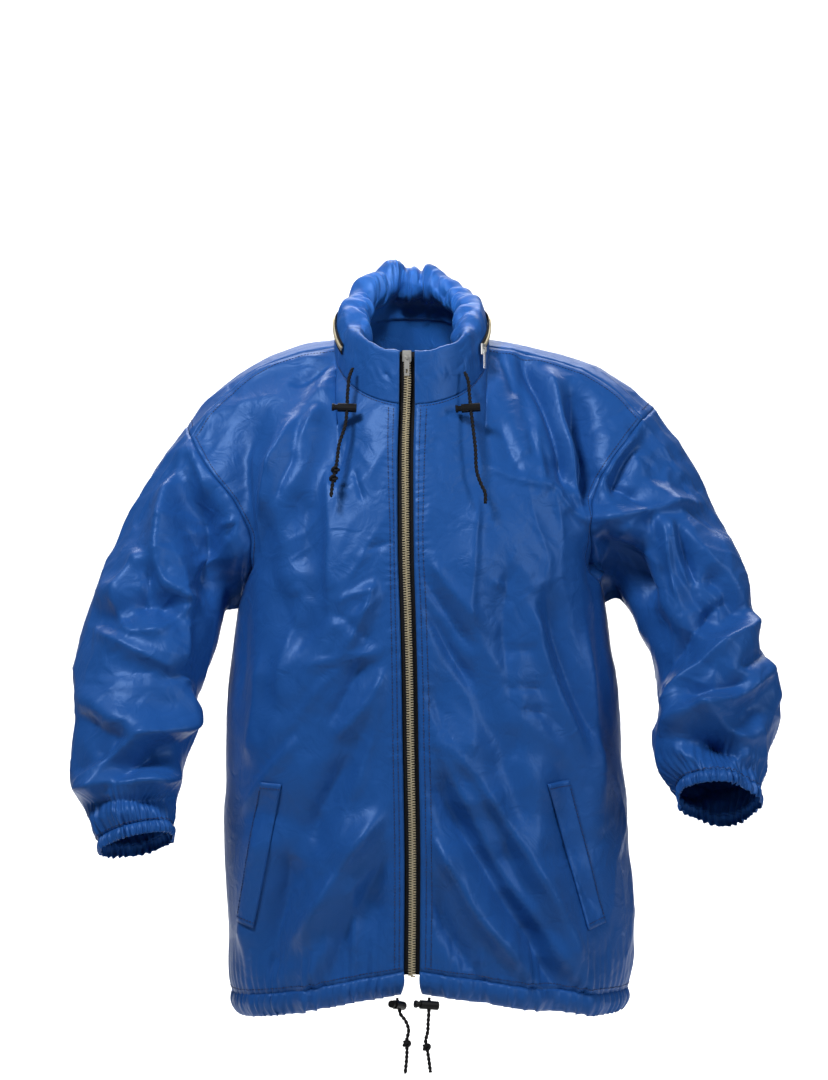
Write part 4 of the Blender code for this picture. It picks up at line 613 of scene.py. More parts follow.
def sleeve_grid(side):
    """Rows from the armhole to the cuff; columns from under the arm, up the front and round."""
    front = armhole(side, "front")
    back = armhole(side, "back")
    ring = np.concatenate((front, back[::-1][1:-1]))
    table = np.array(SLEEVE[side])
    outer = np.stack([side * table[:, 0], table[:, 4], table[:, 1]], axis=1)
    inner = np.stack([side * table[:, 2], table[:, 4], table[:, 3]], axis=1)
    middle = 0.5 * (outer + inner)
    outward = 0.5 * (outer - inner)
    forward = unit(np.cross(unit(np.gradient(middle, axis=0)), outward)) * side * table[:, 5:6]
    offset = ring - middle[0]
    turn = np.arctan2(offset @ forward[0] / (forward[0] @ forward[0]),
                      -(offset @ outward[0]) / (outward[0] @ outward[0]))
    turn = np.unwrap(turn)
    lengths = np.linalg.norm(np.diff(middle, axis=0), axis=1)
    keys = np.concatenate(([0.0], np.cumsum(lengths))) / lengths.sum()
    stations = [tuple([key]) + tuple(values) for key, values
                in zip(keys, np.hstack((middle, outward, forward)))]
    start = middle[0] - np.outer(np.cos(turn), outward[0]) + np.outer(np.sin(turn), forward[0])
    rows = []
    for i in range(SLEEVE_ROWS + 1):
        s = i / SLEEVE_ROWS
        values = read_table(stations, s)
        centre, out, fore = values[:3], values[3:6], values[6:]
        section = centre - np.outer(np.cos(turn), out) + np.outer(np.sin(turn), fore)
        rows.append(section + (ring - start) * (1 - ease(s / 0.35)))
    return np.array(rows)


panels = {"back": back_grid()}
for side in (RIGHT, LEFT):
    panels[SIDE_NAMES[side] + "_front"] = front_grid(side)
    panels[SIDE_NAMES[side] + "_sleeve"] = sleeve_grid(side)
WAYS = {"back": -1, "right_front": RIGHT, "left_front": LEFT,
        "right_sleeve": LEFT, "left_sleeve": RIGHT}
print("points in the panels:", {name: grid.shape[:2] for name, grid in panels.items()})

# %% [markdown]
# ## Which way the cloth faces
# Folds push the cloth out or in along its own direction. Where two panels are sewn together
# they have to agree on that direction, or a gap would open in the seam.

# %% Directions shared at the seams


def along_grid(grid, axis, closed=False):
    """Directions along a grid's rows (axis 1) or columns (axis 0) at every point."""
    if closed:
        return np.roll(grid, -1, axis=axis) - np.roll(grid, 1, axis=axis)
    return np.gradient(grid, axis=axis)


def seam_index(grids):
    """For every point of all panels a number that points sewn together have in common."""
    keys = np.round(np.concatenate([grid.reshape(-1, 3) for grid in grids.values()]) * 1e6)
    return np.unique(keys.astype(np.int64), axis=0, return_inverse=True)[1].ravel()


def shared_normals(grids, index):
    """Outward directions at every point; where panels meet, each of them counts the same."""
    own = []
    for name, grid in grids.items():
        closed = name.endswith("sleeve")
        ways = unit(np.cross(along_grid(grid, 1, closed), along_grid(grid, 0))) * WAYS[name]
        own.append(ways.reshape(-1, 3))
    sums = np.zeros((index.max() + 1, 3))
    np.add.at(sums, index, np.concatenate(own))
    together = unit(sums[index])
    result = {}
    start = 0
    for name, grid in grids.items():
        count = grid.shape[0] * grid.shape[1]
        result[name] = together[start:start + count].reshape(grid.shape)
        start += count
    return result


def softened(grid, middle, reach, passes):
    """A grid whose rows near one row are smoothed, all but its first and last columns."""
    grid = grid.copy()
    rows = slice(middle - reach, middle + reach)
    above = slice(middle - reach + 1, middle + reach + 1)
    below = slice(middle - reach - 1, middle + reach - 1)
    for _ in range(passes):
        grid[rows, 1:-1] = (0.5 * grid[rows, 1:-1] + 0.25 * grid[above, 1:-1]
                            + 0.25 * grid[below, 1:-1])
    return grid


UNDERARM_REACH = 22            # rows above and below the underarm that are smoothed
UNDERARM_PASSES = 60

for name in ("back", "right_front", "left_front"):
    panels[name] = softened(panels[name], LOW_ROWS, UNDERARM_REACH, UNDERARM_PASSES)
sewn = seam_index(panels)
facings = shared_normals(panels, sewn)

# %% [markdown]
# ## Folds
# Thin nylon shows every pull. The long soft folds and the sharper creases are listed as
# strokes in millimetres, seen from the front or the back: where each starts and ends, how far
# its middle bends aside, half its width and its height; a trough has a negative height. A
# crease has a crest like a real one: narrow at the top, with long soft flanks.

# %% Soft folds
# Seen from the front and from the back: x0, z0, x1, z1, bend, half width, height.
BODY_FOLDS = {
    "front": (
        (120, -20, 166, -158, -14, 13, -9), (172, -56, 189, -190, 6, 19, -18),
        (-174, -85, -158, -236, -6, 18, -15), (-77, -30, -160, -190, 8, 18, 8),
        (-105, -60, -118, -320, 12, 25, -7), (22, -300, 120, -560, 20, 20, -9),
        (21, -405, 186, -690, 18, 21, 11), (18, -470, 150, -695, 14, 18, -11),
        (14, -520, 118, -698, 10, 19, 9), (130, -260, 175, -600, 12, 27, -8),
        (-30, -400, -150, -640, -14, 20, -8), (-37, -505, -115, -660, -10, 20, 9),
        (-55, -280, -165, -470, -12, 20, 7), (-20, -580, -70, -690, -6, 18, -8),
    ),
    "back": (
        (50, -150, 160, -460, 15, 30, -9), (-60, -160, -150, -440, -15, 30, -9),
        (60, -300, 150, -660, 20, 25, 11), (-70, -330, -140, -670, -18, 25, 11),
        (0, -350, 30, -680, 12, 27, -9), (185, -90, 180, -230, -6, 20, -14),
        (-168, -100, -160, -240, 6, 20, -9),
    ),
}
SLEEVE_FOLDS = {
    "front": (
        (200, -190, 268, -300, 18, 17.5, 11), (215, -215, 262, -330, 6, 22, -16),
        (266, -205, 372, -312, -18, 17.5, 11), (275, -225, 352, -318, -12, 17.5, -15),
        (366, -305, 285, -405, 10, 19, 14), (377, -350, 300, -440, 8, 17.5, -11),
        (305, -392, 372, -414, -6, 17.5, 8), (292, -425, 352, -462, 6, 17.5, -8),
        (-258, -150, -234, -280, -20, 17.5, 11), (-250, -155, -206, -282, 4, 19, -16),
        (-338, -268, -252, -350, 12, 17.5, 11), (-352, -310, -240, -290, 10, 18, -14),
        (-350, -382, -232, -402, -16, 17.5, 14), (-352, -458, -250, -424, -10, 18, -14),
        (-346, -470, -255, -462, 8, 17.5, 11),
    ),
    "back": (
        (220, -240, 350, -270, 10, 17.5, -12), (250, -310, 365, -300, 10, 17.5, -12),
        (265, -360, 375, -380, -10, 17.5, 11), (275, -420, 370, -420, 10, 17.5, -9),
        (-200, -250, -330, -280, 10, 17.5, -12), (-215, -320, -350, -320, 10, 17.5, 11),
        (-230, -370, -352, -390, -10, 17.5, -12), (-240, -440, -352, -440, 10, 17.5, 9),
    ),
}

# %% Sharp creases of the front
# Creases have two flanks: x0, z0, x1, z1, bend, flank to the left of the stroke, flank to its
# right, height. A narrow flank beside a wide one gives the sharp edge of a flat facet.
BODY_CREASES = (
    (-171, -109, -163, -231, -2, 6.3, 16.9, 5), (-100, -77, -124, -126, -2, 4.2, 8.4, 3.5),
    (-129, -93, -162, -183, -3, 5.3, 8.4, 4.5), (-116, -107, -143, -172, -2, 5.3, 7.4, -3.5),
    (-144, -101, -150, -143, 0, 4.2, 4.2, 2), (-93, -141, -89, -280, 2, 6.3, 23.2, 5),
    (-116, -167, -118, -241, 0, 16.9, 14.8, -4), (-158, -236, -116, -325, -4, 19, 19, -4),
    (-38, -260, -71, -333, 3, 6.3, 9.5, 4.5), (-27, -350, -76, -421, 3, 6.3, 9.5, 4.5),
    (-53, -341, -86, -404, 2, 7.4, 8.4, -3.5), (-108, -346, -27, -334, 2, 4.2, 5.3, 2.5),
    (-117, -421, -179, -504, -3, 4.2, 7.4, 3.5), (-37, -508, -113, -636, -5, 8.4, 13.7, 5.5),
    (-21, -542, -84, -663, -4, 10.5, 11.6, -5), (-49, -227, -17, -217, 0, 4.2, 4.2, -2.5),
    (-79, -278, -36, -265, 2, 5.3, 5.3, 2.5), (-82, -290, -42, -320, 3, 5.3, 5.3, -2),
    (-75, -25, -158, -153, -5, 8.4, 13.7, 3), (-80, -10, -118, -16, 1, 4.2, 4.2, 2),
    (-81, -18, -129, -46, 2, 5.3, 5.3, -2.5), (-160, -520, -176, -660, -4, 9.5, 13.7, 5),
    (-133, -542, -150, -681, -3, 12.7, 12.7, -5), (-84, -634, -118, -702, -2, 7.4, 9.5, 3.5),
    (-71, -98, -86, -151, 0, 4.2, 5.3, -2), (-63, -141, -53, -172, 0, 3.2, 3.2, -1.5),
    (-118, -278, -139, -383, -4, 10.5, 10.5, 4), (-158, -341, -171, -447, 0, 9.5, 10.5, 4),
    (-71, -447, -108, -520, -3, 8.4, 10.5, -4), (-60, -573, -65, -684, 2, 8.4, 8.4, 3.5),
    (-34, -383, -63, -489, 2, 9.5, 9.5, 3), (-181, -236, -186, -383, 0, 8.4, 8.4, -4),
    (121, -21, 163, -153, 8, 6.3, 6.3, -8), (152, -39, 184, -189, 4, 6.3, 7.4, 6),
    (174, -54, 191, -174, 5, 7.4, 11.6, -9), (90, -10, 110, -56, 2, 5.3, 5.3, -3.5),
    (77, -134, 153, -158, -4, 4.2, 4.2, 2.5), (153, -158, 186, -196, -3, 4.2, 4.2, 2.5),
    (156, -161, 190, -172, 0, 4.2, 4.2, 2), (67, -172, 64, -301, 0, 14.8, 5.3, 3),
    (10, -246, 64, -326, -3, 6.3, 8.4, -4.5), (21, -236, 76, -303, -3, 7.4, 7.4, 3),
    (12, -278, 62, -364, -4, 6.3, 8.4, -4.5), (14, -362, 63, -453, -5, 10.5, 13.7, -6),
    (61, -451, 127, -596, 0, 11.6, 12.7, -5), (130, -286, 184, -438, -5, 11.6, 7.4, 5.5),
    (145, -278, 201, -432, -4, 9.5, 9.5, -4.5), (101, -332, 133, -332, 0, 3.7, 3.7, -2.2),
    (103, -370, 140, -371, 0, 3.7, 3.7, -2.2), (119, -395, 141, -396, 0, 3.7, 3.7, -2),
    (86, -259, 99, -265, 0, 3.7, 3.7, 1.6), (101, -236, 106, -385, -3, 15.8, 13.7, -4),
    (21, -404, 188, -696, 15, 7.4, 9.5, 5), (32, -438, 184, -691, -11, 6.3, 8.4, 4.5),
    (12, -508, 148, -700, -11, 7.4, 10.5, 5.5), (17, -459, 156, -687, -3, 7.4, 8.4, -4),
    (14, -573, 93, -700, -8, 8.4, 9.5, -4.5), (198, -236, 211, -404, 0, 9.5, 8.4, -4),
    (188, -320, 205, -489, 0, 8.4, 8.4, 4), (156, -489, 198, -615, -3, 8.4, 8.4, -3.5),
    (30, -88, 61, -67, 2, 5.3, 5.3, -2), (23, -65, 72, -37, 3, 5.3, 5.3, 3),
    (93, -88, 114, -141, 0, 8.4, 8.4, -2.5), (135, -88, 141, -151, 0, 5.3, 5.3, 3),
)
SLEEVE_CREASES = (
    (-238, -106, -266, -209, -3, 9.5, 21.1, 4), (-255, -151, -270, -236, -4, 10.5, 9.5, 5),
    (-271, -241, -231, -281, -8, 8.4, 7.4, 6), (-232, -172, -209, -278, 3, 13.7, 15.8, -7),
    (-287, -231, -319, -278, -3, 7.4, 9.5, 4), (-319, -278, -295, -313, -4, 7.4, 9.5, 4),
    (-295, -313, -234, -284, -9, 8.4, 9.5, 5), (-276, -246, -286, -290, 0, 13.7, 13.7, -5),
    (-346, -305, -248, -359, 4, 9.5, 15.8, 7), (-248, -359, -224, -400, 0, 13.7, 6.3, 6),
    (-232, -283, -249, -350, 0, 11.6, 6.3, 4), (-346, -400, -295, -421, 0, 14.8, 14.8, -8),
    (-290, -419, -224, -401, -4, 9.5, 8.4, 7), (-290, -420, -350, -466, 2, 6.3, 9.5, 6),
    (-266, -438, -331, -478, 0, 8.4, 9.5, -6), (-350, -474, -243, -463, 4, 6.3, 11.6, 7),
    (-340, -489, -249, -485, 2, 7.4, 7.4, -5), (-329, -499, -321, -527, 0, 5.3, 6.3, 3),
    (-276, -489, -260, -516, 0, 5.3, 6.3, 2.5), (-303, -494, -300, -525, 0, 4.2, 5.3, 2.5),
    (-209, -200, -191, -197, 0, 3.2, 3.2, 2), (-191, -197, -200, -214, 0, 3.2, 3.2, -2),
    (-238, -116, -220, -162, 3, 6.3, 10.5, 3), (-250, -193, -224, -236, 0, 8.4, 8.4, -3),
    (190, -191, 310, -175, -3, 6.3, 13.7, 7), (189, -181, 246, -98, 3, 8.4, 5.3, 4),
    (243, -109, 216, -169, -2, 7.4, 8.4, -7), (246, -125, 263, -136, 0, 3.2, 3.2, -2),
    (293, -146, 316, -163, 0, 3.2, 4.2, -2), (234, -214, 242, -280, 0, 23.2, 16.9, -11),
    (209, -204, 205, -269, 0, 12.7, 12.7, -6), (259, -192, 284, -280, 4, 6.3, 10.5, 8),
    (281, -204, 303, -257, 2, 4.2, 5.3, -4), (270, -201, 294, -259, 2, 4.2, 4.2, 4),
    (270, -197, 359, -303, 11, 9.5, 13.7, 6), (317, -250, 348, -301, 2, 13.7, 10.5, -8),
    (327, -209, 357, -278, 5, 13.7, 16.9, 5), (359, -305, 270, -411, -13, 13.7, 12.7, 10),
    (331, -282, 262, -375, -11, 11.6, 9.5, -6), (364, -333, 385, -388, 6, 12.7, 12.7, 5),
    (384, -328, 341, -350, 0, 7.4, 7.4, -6), (270, -413, 378, -350, -6, 7.4, 9.5, 7),
    (304, -392, 352, -423, -4, 6.3, 7.4, 5), (293, -422, 343, -442, 0, 8.4, 8.4, -5),
    (274, -432, 327, -454, -2, 7.4, 7.4, 4), (295, -383, 348, -362, 0, 9.5, 9.5, -7),
    (308, -463, 352, -436, 0, 6.3, 6.3, 3), (304, -447, 317, -478, 0, 5.3, 5.3, 3),
    (330, -452, 341, -484, 0, 5.3, 5.3, 2.5), (291, -436, 298, -470, 0, 5.3, 5.3, 2.5),
    (351, -457, 359, -489, 0, 5.3, 6.3, 3), (198, -141, 241, -172, 2, 6.3, 6.3, -3),
)

# %% From strokes to heights
STROKE_END = 0.15              # how far a stroke fades out past its ends, as a share of it
MM = 1000


def stroke_heights(strokes, points, facing, sharpness):
    """How far the strokes move points out, by where each point is and how it faces."""
    total = np.zeros(len(points))
    for face, x0, z0, x1, z1, bend, minus, plus, height in strokes:
        toward = -facing[:, 1] if face == "front" else facing[:, 1]
        start = np.array((x0, z0)) / MM
        way = np.array((x1, z1)) / MM - start
        length = np.linalg.norm(way)
        along = way / length
        across = np.array((-along[1], along[0]))
        offset = points[:, (0, 2)] - start
        t = offset @ along / length
        reach = 3 * max(minus, plus) / MM + abs(bend) / MM
        near = ((toward > 0) & (t > -STROKE_END) & (t < 1 + STROKE_END)
                & (np.abs(offset @ across) < reach))
        t = t[near]
        side = (offset[near] @ across) * MM - bend * (1 - (2 * t - 1) ** 2)
        share = np.abs(side) / np.where(side < 0, minus, plus)
        ends = ease((t + STROKE_END) / 0.35) * ease((1 + STROKE_END - t) / 0.35)
        total[near] += (height / MM * np.exp(-share ** sharpness) * ends
                        * ease(toward[near] * 1.6))
    return total


def fine_creases(count, seed, box, lean, longest):
    """Small random creases in a box seen from the front or back; lean is their slant."""
    draw = np.random.default_rng(seed)
    x0, x1, z0, z1 = box
    strokes = []
    for number in range(count):
        x = draw.uniform(x0, x1)
        z = draw.uniform(z0, z1)
        angle = draw.normal(lean, 0.55)
        length = draw.uniform(0.35, 1.0) * longest
        narrow, wide = sorted(draw.uniform(3.0, 9.0, 2))
        if draw.random() < 0.5:
            narrow, wide = wide, narrow
        height = draw.choice((-1, 1)) * draw.uniform(0.4, 1.5)
        strokes.append(("front" if number % 2 else "back", x, z,
                        x + length * math.cos(angle), z + length * math.sin(angle),
                        draw.normal(0, 3), narrow, wide, height))
    return tuple(strokes)


def distance_to(points, line):
    """Distance from each point to the nearest point of a line of points."""
    nearest = np.full(len(points), np.inf)
    for spot in line:
        gap = points - spot
        nearest = np.minimum(nearest, np.einsum("ij,ij->i", gap, gap))
    return np.sqrt(nearest)


def wandered(points, size, reach):
    """Points moved a little by soft noise, so that straight strokes turn uneven."""
    moved = np.array([tuple(noise.noise_vector(Vector(point) * size)) for point in points])
    return points + moved * reach


# %% Wrinkles and facets of light nylon
BROAD_WRINKLE = 0.072
FINE_WRINKLE = 0.030
WRINKLE_LEAN = 0.45            # slant of the wrinkles, outwards on each side


def sharp_wrinkles(place, size, lean, seed):
    """Random wrinkles with sharp crests and smooth hollows, longer along their lean."""
    x, y, z = place
    across = (x * math.cos(lean) - z * math.sin(lean)) / size
    along = (x * math.sin(lean) + z * math.cos(lean)) / (size * 1.9)
    spot = Vector((across, y / size, along + seed))
    spot += noise.noise_vector(spot * 0.55) * 0.9
    crest = max(1 - abs(noise.noise(spot)) * 2.4, 0.0)
    return crest * crest - 0.3


FACET_WAVES = (
    # direction x, y, z; length of a wave; height on the body; height on the sleeves
    (0.62, 0.20, 0.76, 0.098, 0.0034, 0.0056),
    (-0.66, 0.15, 0.73, 0.076, 0.0026, 0.0044),
    (0.15, 0.70, 0.70, 0.052, 0.0012, 0.0020),
)


def facets(place, low, arm):
    """Flat planes that meet in creases: straight-sided waves that cross each other."""
    spot = Vector(place)
    height = 0.0
    for number, (x, y, z, length, on_body, on_sleeve) in enumerate(FACET_WAVES):
        phase = spot.dot(Vector((x, y, z))) / length
        phase += noise.noise(spot / 0.13 + Vector((number * 7.0, 0.0, 0.0))) * 1.1
        offset = phase - math.floor(phase + 0.5)
        wave = 4 * math.sqrt(offset * offset + 0.0009) - 1
        strength = 0.55 + 0.9 * noise.noise(spot / 0.10 + Vector((0.0, number * 5.0, 2.0)))
        height += wave * max(strength, 0.1) * mix(on_body * low, on_sleeve, arm)
    return height


def crumples(points, facing):
    """The crumpled look of light nylon: broad wrinkles with finer ones between them."""
    heights = np.empty(len(points))
    for number, (place, way) in enumerate(zip(points, facing)):
        lean = -WRINKLE_LEAN * place[0] / abs(place[0] + 1e-9)
        arm = float(ease((abs(place[0]) - 0.18) / 0.07))
        low = float(ease((-0.22 - place[2]) / 0.25))
        broad = sharp_wrinkles(place, BROAD_WRINKLE, lean, 3.0)
        broad *= 0.0022 + 0.0014 * low + 0.0010 * arm
        fine = sharp_wrinkles(place, FINE_WRINKLE, lean * 1.6, 8.0) * (0.0008 + 0.0006 * arm)
        outline = float(ease((abs(way[0]) - 0.35) / 0.5))
        planes = facets(place, low, arm) * (1 - outline * mix(0.95, 0.80, arm))
        heights[number] = (broad + fine) * (1 - outline * mix(0.85, 0.2, arm)) + planes
    return heights


# %% Lay the folds into the panels
FOLD_CREST = 2.0               # how rounded the crest of a stroke is: 2 is a soft bell
CREASE_CREST = 1.45
CREASE_LIFT = 1.9
NECK_HOLD = 0.035              # near the neck and the zip the sewing holds the cloth flat
ZIP_HOLD = 0.03

armhole_line = np.concatenate([armhole(side, face)[::5] for side in (RIGHT, LEFT)
                               for face in ("front", "back")])
neck_line = np.array([neck_seam(angle) for angle in np.linspace(0, 2 * math.pi, 60)])
zip_line = np.array([zip_middle(z) for z in np.linspace(-0.70, -0.07, 70)])


def fold_strokes(table):
    """Soft folds as strokes: both flanks have the fold's one half width."""
    return [(face, *row[:6], *row[5:]) for face, rows in table.items() for row in rows]


def crease_strokes(table):
    """Creases as strokes on the front."""
    return [("front", *row) for row in table]


body_small = (fine_creases(170, 3, (-200, 220, -690, -60), 1.75, 55)
              + fine_creases(80, 4, (-180, 200, -300, -30), 0.9, 50))
sleeve_small = (fine_creases(50, 5, (-365, -195, -520, -120), 0.6, 45)
                + fine_creases(50, 6, (215, 385, -480, -100), 2.4, 45))
plain_panels = panels
panels = {}
for name, grid in plain_panels.items():
    points = grid.reshape(-1, 3)
    facing = facings[name].reshape(-1, 3)
    uneven = wandered(points, 14.0, 0.004)
    near_armhole = 1 - ease((distance_to(points, armhole_line) - 0.009) / 0.05)
    is_sleeve = name.endswith("sleeve")
    on_body = near_armhole if is_sleeve else 1.0
    on_sleeve = 1.0 if is_sleeve else near_armhole
    height = np.zeros(len(points))
    for table, share in ((BODY_FOLDS, on_body), (SLEEVE_FOLDS, on_sleeve)):
        height += stroke_heights(fold_strokes(table), uneven, facing, FOLD_CREST) * share
    height += crumples(points, facing)
    for strokes, lift, share in ((crease_strokes(BODY_CREASES), CREASE_LIFT, on_body),
                                 (crease_strokes(SLEEVE_CREASES), CREASE_LIFT, on_sleeve),
                                 (body_small, 1.0, on_body), (sleeve_small, 1.0, on_sleeve)):
        height += lift * stroke_heights(strokes, uneven, facing, CREASE_CREST) * share
    hold = ease(distance_to(points, neck_line) / NECK_HOLD)
    hold = hold * ease((distance_to(points, zip_line) - 0.008) / ZIP_HOLD)
    panels[name] = grid + facings[name] * (height * hold).reshape(*grid.shape[:2], 1)
print("folds laid in:", len(body_small) + len(sleeve_small), "of them small and random")

# %% [markdown]
# ## Gathers and seams
# Stitching draws thin cloth into small puckers: along the zip, above the hem's drawstring and
# above the elastic of the cuffs. At each seam the cloth turns in, which leaves a fine line.

# %% Puckers at the stitching and lines at the seams
SEAM_SINK = 0.0010
# Cells to a wave, and height of the waves.
CUFF_GATHERS = (5.0, 0.0022)
HEM_GATHERS = (4.2, 0.0015)
ZIP_PUCKERS = (3.1, 0.0008)


def soft_noise(x, y, z):
    """Smooth random height at a place."""
    return noise.noise(Vector((x, y, z)))


def drift_along(count, step, y, z):
    """Smooth random heights of a number of points along a line."""
    return np.array([soft_noise(k * step, y, z) for k in range(count)])


def puckers(count, waves, seed):
    """Heights of uneven waves for a number of points along a seam."""
    per_wave, height = waves
    wander = drift_along(count, 0.13, seed, 0.0)
    strength = 0.6 + 0.9 * drift_along(count, 0.09, seed, 7.0)
    return np.sin(np.arange(count) * 2 * math.pi / per_wave + 3.0 * wander) * strength * height


facings = shared_normals(panels, sewn)
for name, grid in panels.items():
    rows, columns = grid.shape[:2]
    row = np.arange(rows)[:, None]
    column = np.arange(columns)[None, :]
    height = np.zeros((rows, columns))
    if name.endswith("sleeve"):
        fade = ease((row - (rows - 22)) / 20)
        height += puckers(columns, CUFF_GATHERS, 3.0)[None, :] * fade
    else:
        ends = np.minimum(column, columns - 1 - column)
        fade = ease((14 - row) / 14) * ease(ends / 4)
        height += puckers(columns, HEM_GATHERS, 5.0)[None, :] * fade
    if name.endswith("front"):
        fade = ease(column / 1.5) * ease((9 - column) / 5)
        height += puckers(rows, ZIP_PUCKERS, 9.0 + WAYS[name])[:, None] * fade
    if not name.endswith("sleeve"):
        height[:, 0] -= SEAM_SINK
        height[:, -1] -= SEAM_SINK
        height[-1, 1:-1] -= SEAM_SINK
    else:
        height[0, :] -= SEAM_SINK
    panels[name] = grid + facings[name] * height[..., None]
facings = shared_normals(panels, sewn)

# %% [markdown]
# ## Cloth pieces
# Every panel becomes a thin shell: one sheet of faces, and a Solidify modifier for the
# thickness of the cloth.

# %% Make a shell from a grid
CLOTH_WALL = 0.0006


def grid_object(name, grid, closed, way, finish, wall=CLOTH_WALL):
    """A smooth sheet of cloth from a grid of points; way turns its faces outwards."""
    rows, columns = grid.shape[:2]
    last = columns if closed else columns - 1
    i, k = np.meshgrid(np.arange(rows - 1), np.arange(last), indexing="ij")
    after = (k + 1) % columns
    corners = [i * columns + k, i * columns + after, (i + 1) * columns + after,
               (i + 1) * columns + k]
    faces = np.stack(corners if way > 0 else corners[::-1], axis=-1).reshape(-1, 4)
    thing = mesh_object(name, grid.reshape(-1, 3).tolist(), faces.tolist(), finish)
    shell = thing.modifiers.new("cloth thickness", "SOLIDIFY")
    shell.thickness = wall
    shell.offset = 0.0
    return thing


def cloth_piece(name, node, grid, closed, way, finish=nylon, wall=CLOTH_WALL):
    """A sheet of cloth on the garment that stands for a CAD node, and hides that node."""
    thing = grid_object(name, grid, closed, way, finish, wall)
    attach(thing, "garment")
    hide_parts(node)


for name, grid in panels.items():
    cloth_piece(name + "_cloth", name, grid, name.endswith("sleeve"), WAYS[name])

# %% [markdown]
# ## Cuffs and hem casings
# Elastic draws each cuff in, and a cord runs in the casing of the hem. Both are gathered:
# the cloth stands in small pleats that are tight at the stitching.

# %% Gathered bands
BAND_ROWS = 9
PLEAT_DEPTH = 0.0012
CASING_PLEAT_DEPTH = 0.0013
CUFF_PLEATS = 44
CASING_TUCK = 0.006            # how far the foot of the hem casing turns in


def gathered_band(join, down, outward, height, pleats, depth, swell, closed, seed):
    """Rows of a band that hangs from a joining row, with uneven pleats along it."""
    columns = len(join)
    phase = np.arange(columns) / columns * pleats * 2 * math.pi
    wander = drift_along(columns, 0.11, seed, 0.0)
    deep = 0.65 + 0.7 * drift_along(columns, 0.07, seed + 5.0, 0.0)
    wave = np.sin(phase + 2.2 * wander) * deep
    if not closed:
        ends = np.minimum(np.arange(columns), np.arange(columns)[::-1]) / 8
        wave = wave * np.minimum(ends, 1.0)
    rows = []
    for share in np.linspace(0, 1, BAND_ROWS):
        round_out = math.sin(math.pi * share) * swell
        grow = ease(share * 1.5)
        rows.append(join + down * height * share
                    + outward * (round_out + wave * depth * grow)[:, None])
    return np.array(rows)


def doubled(line, closed, parts):
    """A line with more points between its own."""
    ring = np.concatenate((line, line[:1])) if closed else line
    steps = np.arange(len(ring) - 1)[:, None] + np.arange(parts)[None, :] / parts
    keys = steps.ravel() if closed else np.concatenate((steps.ravel(), [len(ring) - 1]))
    return np.stack([np.interp(keys, np.arange(len(ring)), ring[:, axis]) for axis in range(3)],
                    axis=1)


for side in (RIGHT, LEFT):
    sleeve = panels[SIDE_NAMES[side] + "_sleeve"]
    join = doubled(sleeve[-1], True, 3)
    centre = join.mean(axis=0)
    along = unit(centre - sleeve[-4 * FINE].mean(axis=0))
    band = gathered_band(join, along, unit(join - centre), CUFF_HEIGHT, CUFF_PLEATS,
                         PLEAT_DEPTH, swell=0.0022, closed=True, seed=side * 3.0)
    cloth_piece(SIDE_NAMES[side] + "_cuff_cloth", SIDE_NAMES[side] + "_cuff", band, True,
                -side)

for name, way, pleats in (("right_front", RIGHT, 26), ("left_front", LEFT, 28),
                          ("back", -1, 52)):
    join = doubled(panels[name][0], False, 2)
    tangent = unit(np.gradient(join, axis=0))
    outward = unit(np.cross(tangent, (0.0, 0.0, 1.0))) * way
    drop = np.zeros_like(join)
    drop[:, 2] = -1.0
    band = gathered_band(join, drop, outward, CASING_HEIGHT, pleats, CASING_PLEAT_DEPTH,
                         swell=0.0030, closed=False, seed=way * 7.0 + pleats)
    inward = (np.linspace(0, 1, BAND_ROWS)[:, None, None] ** 2 * outward[None, :, :]
              * CASING_TUCK)
    node = name.replace("front", "hem_casing") if "front" in name else "back_hem_casing"
    cloth_piece(node + "_cloth", node, band - inward, False, -way)

# %% [markdown]
# ## Collar
# The stand collar holds the hood, rolled up. At the front it is thin and flat; round the
# sides and the back it is a soft roll, ruched along its inner face where the drawstring pulls.

# %% The collar's section and its gathers
COLLAR_FRONT_WALL = 0.0034
COLLAR_ROLL = 0.029
COLLAR_LEAN = 0.010
COLLAR_FRONT_LEAN = 0.0045
COLLAR_LAP = 0.0012            # how far the collar's foot laps over the neck seam
COLLAR_BULGE = 0.003
RUCHE_HEIGHT = 0.0042          # inside the collar, then lumps over its top, ripples outside
LUMP_HEIGHT = 0.0060
RIPPLE_HEIGHT = 0.0022
COLLAR_SHARES = (0.0, 0.2, 0.42, 0.64, 0.84)
COLLAR_STATIONS = 300
COLLAR_AROUND = 56
# Angle round the neck in degrees, height, and how far the rolled hood fills the collar.
COLLAR = (
    (0, 0.0570, 0.00), (35, 0.0570, 0.00), (52, 0.0560, 0.35), (68, 0.0530, 0.90),
    (90, 0.0490, 1.00), (115, 0.0470, 1.00), (130, 0.0480, 1.00), (145, 0.0570, 1.00),
    (160, 0.0590, 1.00), (172, 0.0555, 1.00), (182, 0.0580, 1.00), (197, 0.0665, 1.00),
    (208, 0.0655, 1.00), (219, 0.0580, 1.00), (232, 0.0585, 1.00), (248, 0.0500, 1.00),
    (270, 0.0500, 1.00), (292, 0.0530, 0.90), (308, 0.0560, 0.35), (325, 0.0570, 0.00),
    (360, 0.0570, 0.00),
)


def collar_swell(puff, f):
    """How far the collar's outer wall lies outside the neck seam at a share of its height."""
    lean = mix(COLLAR_FRONT_LEAN, COLLAR_LEAN, puff)
    return puff * COLLAR_BULGE * math.sin(math.pi * f) - lean * f


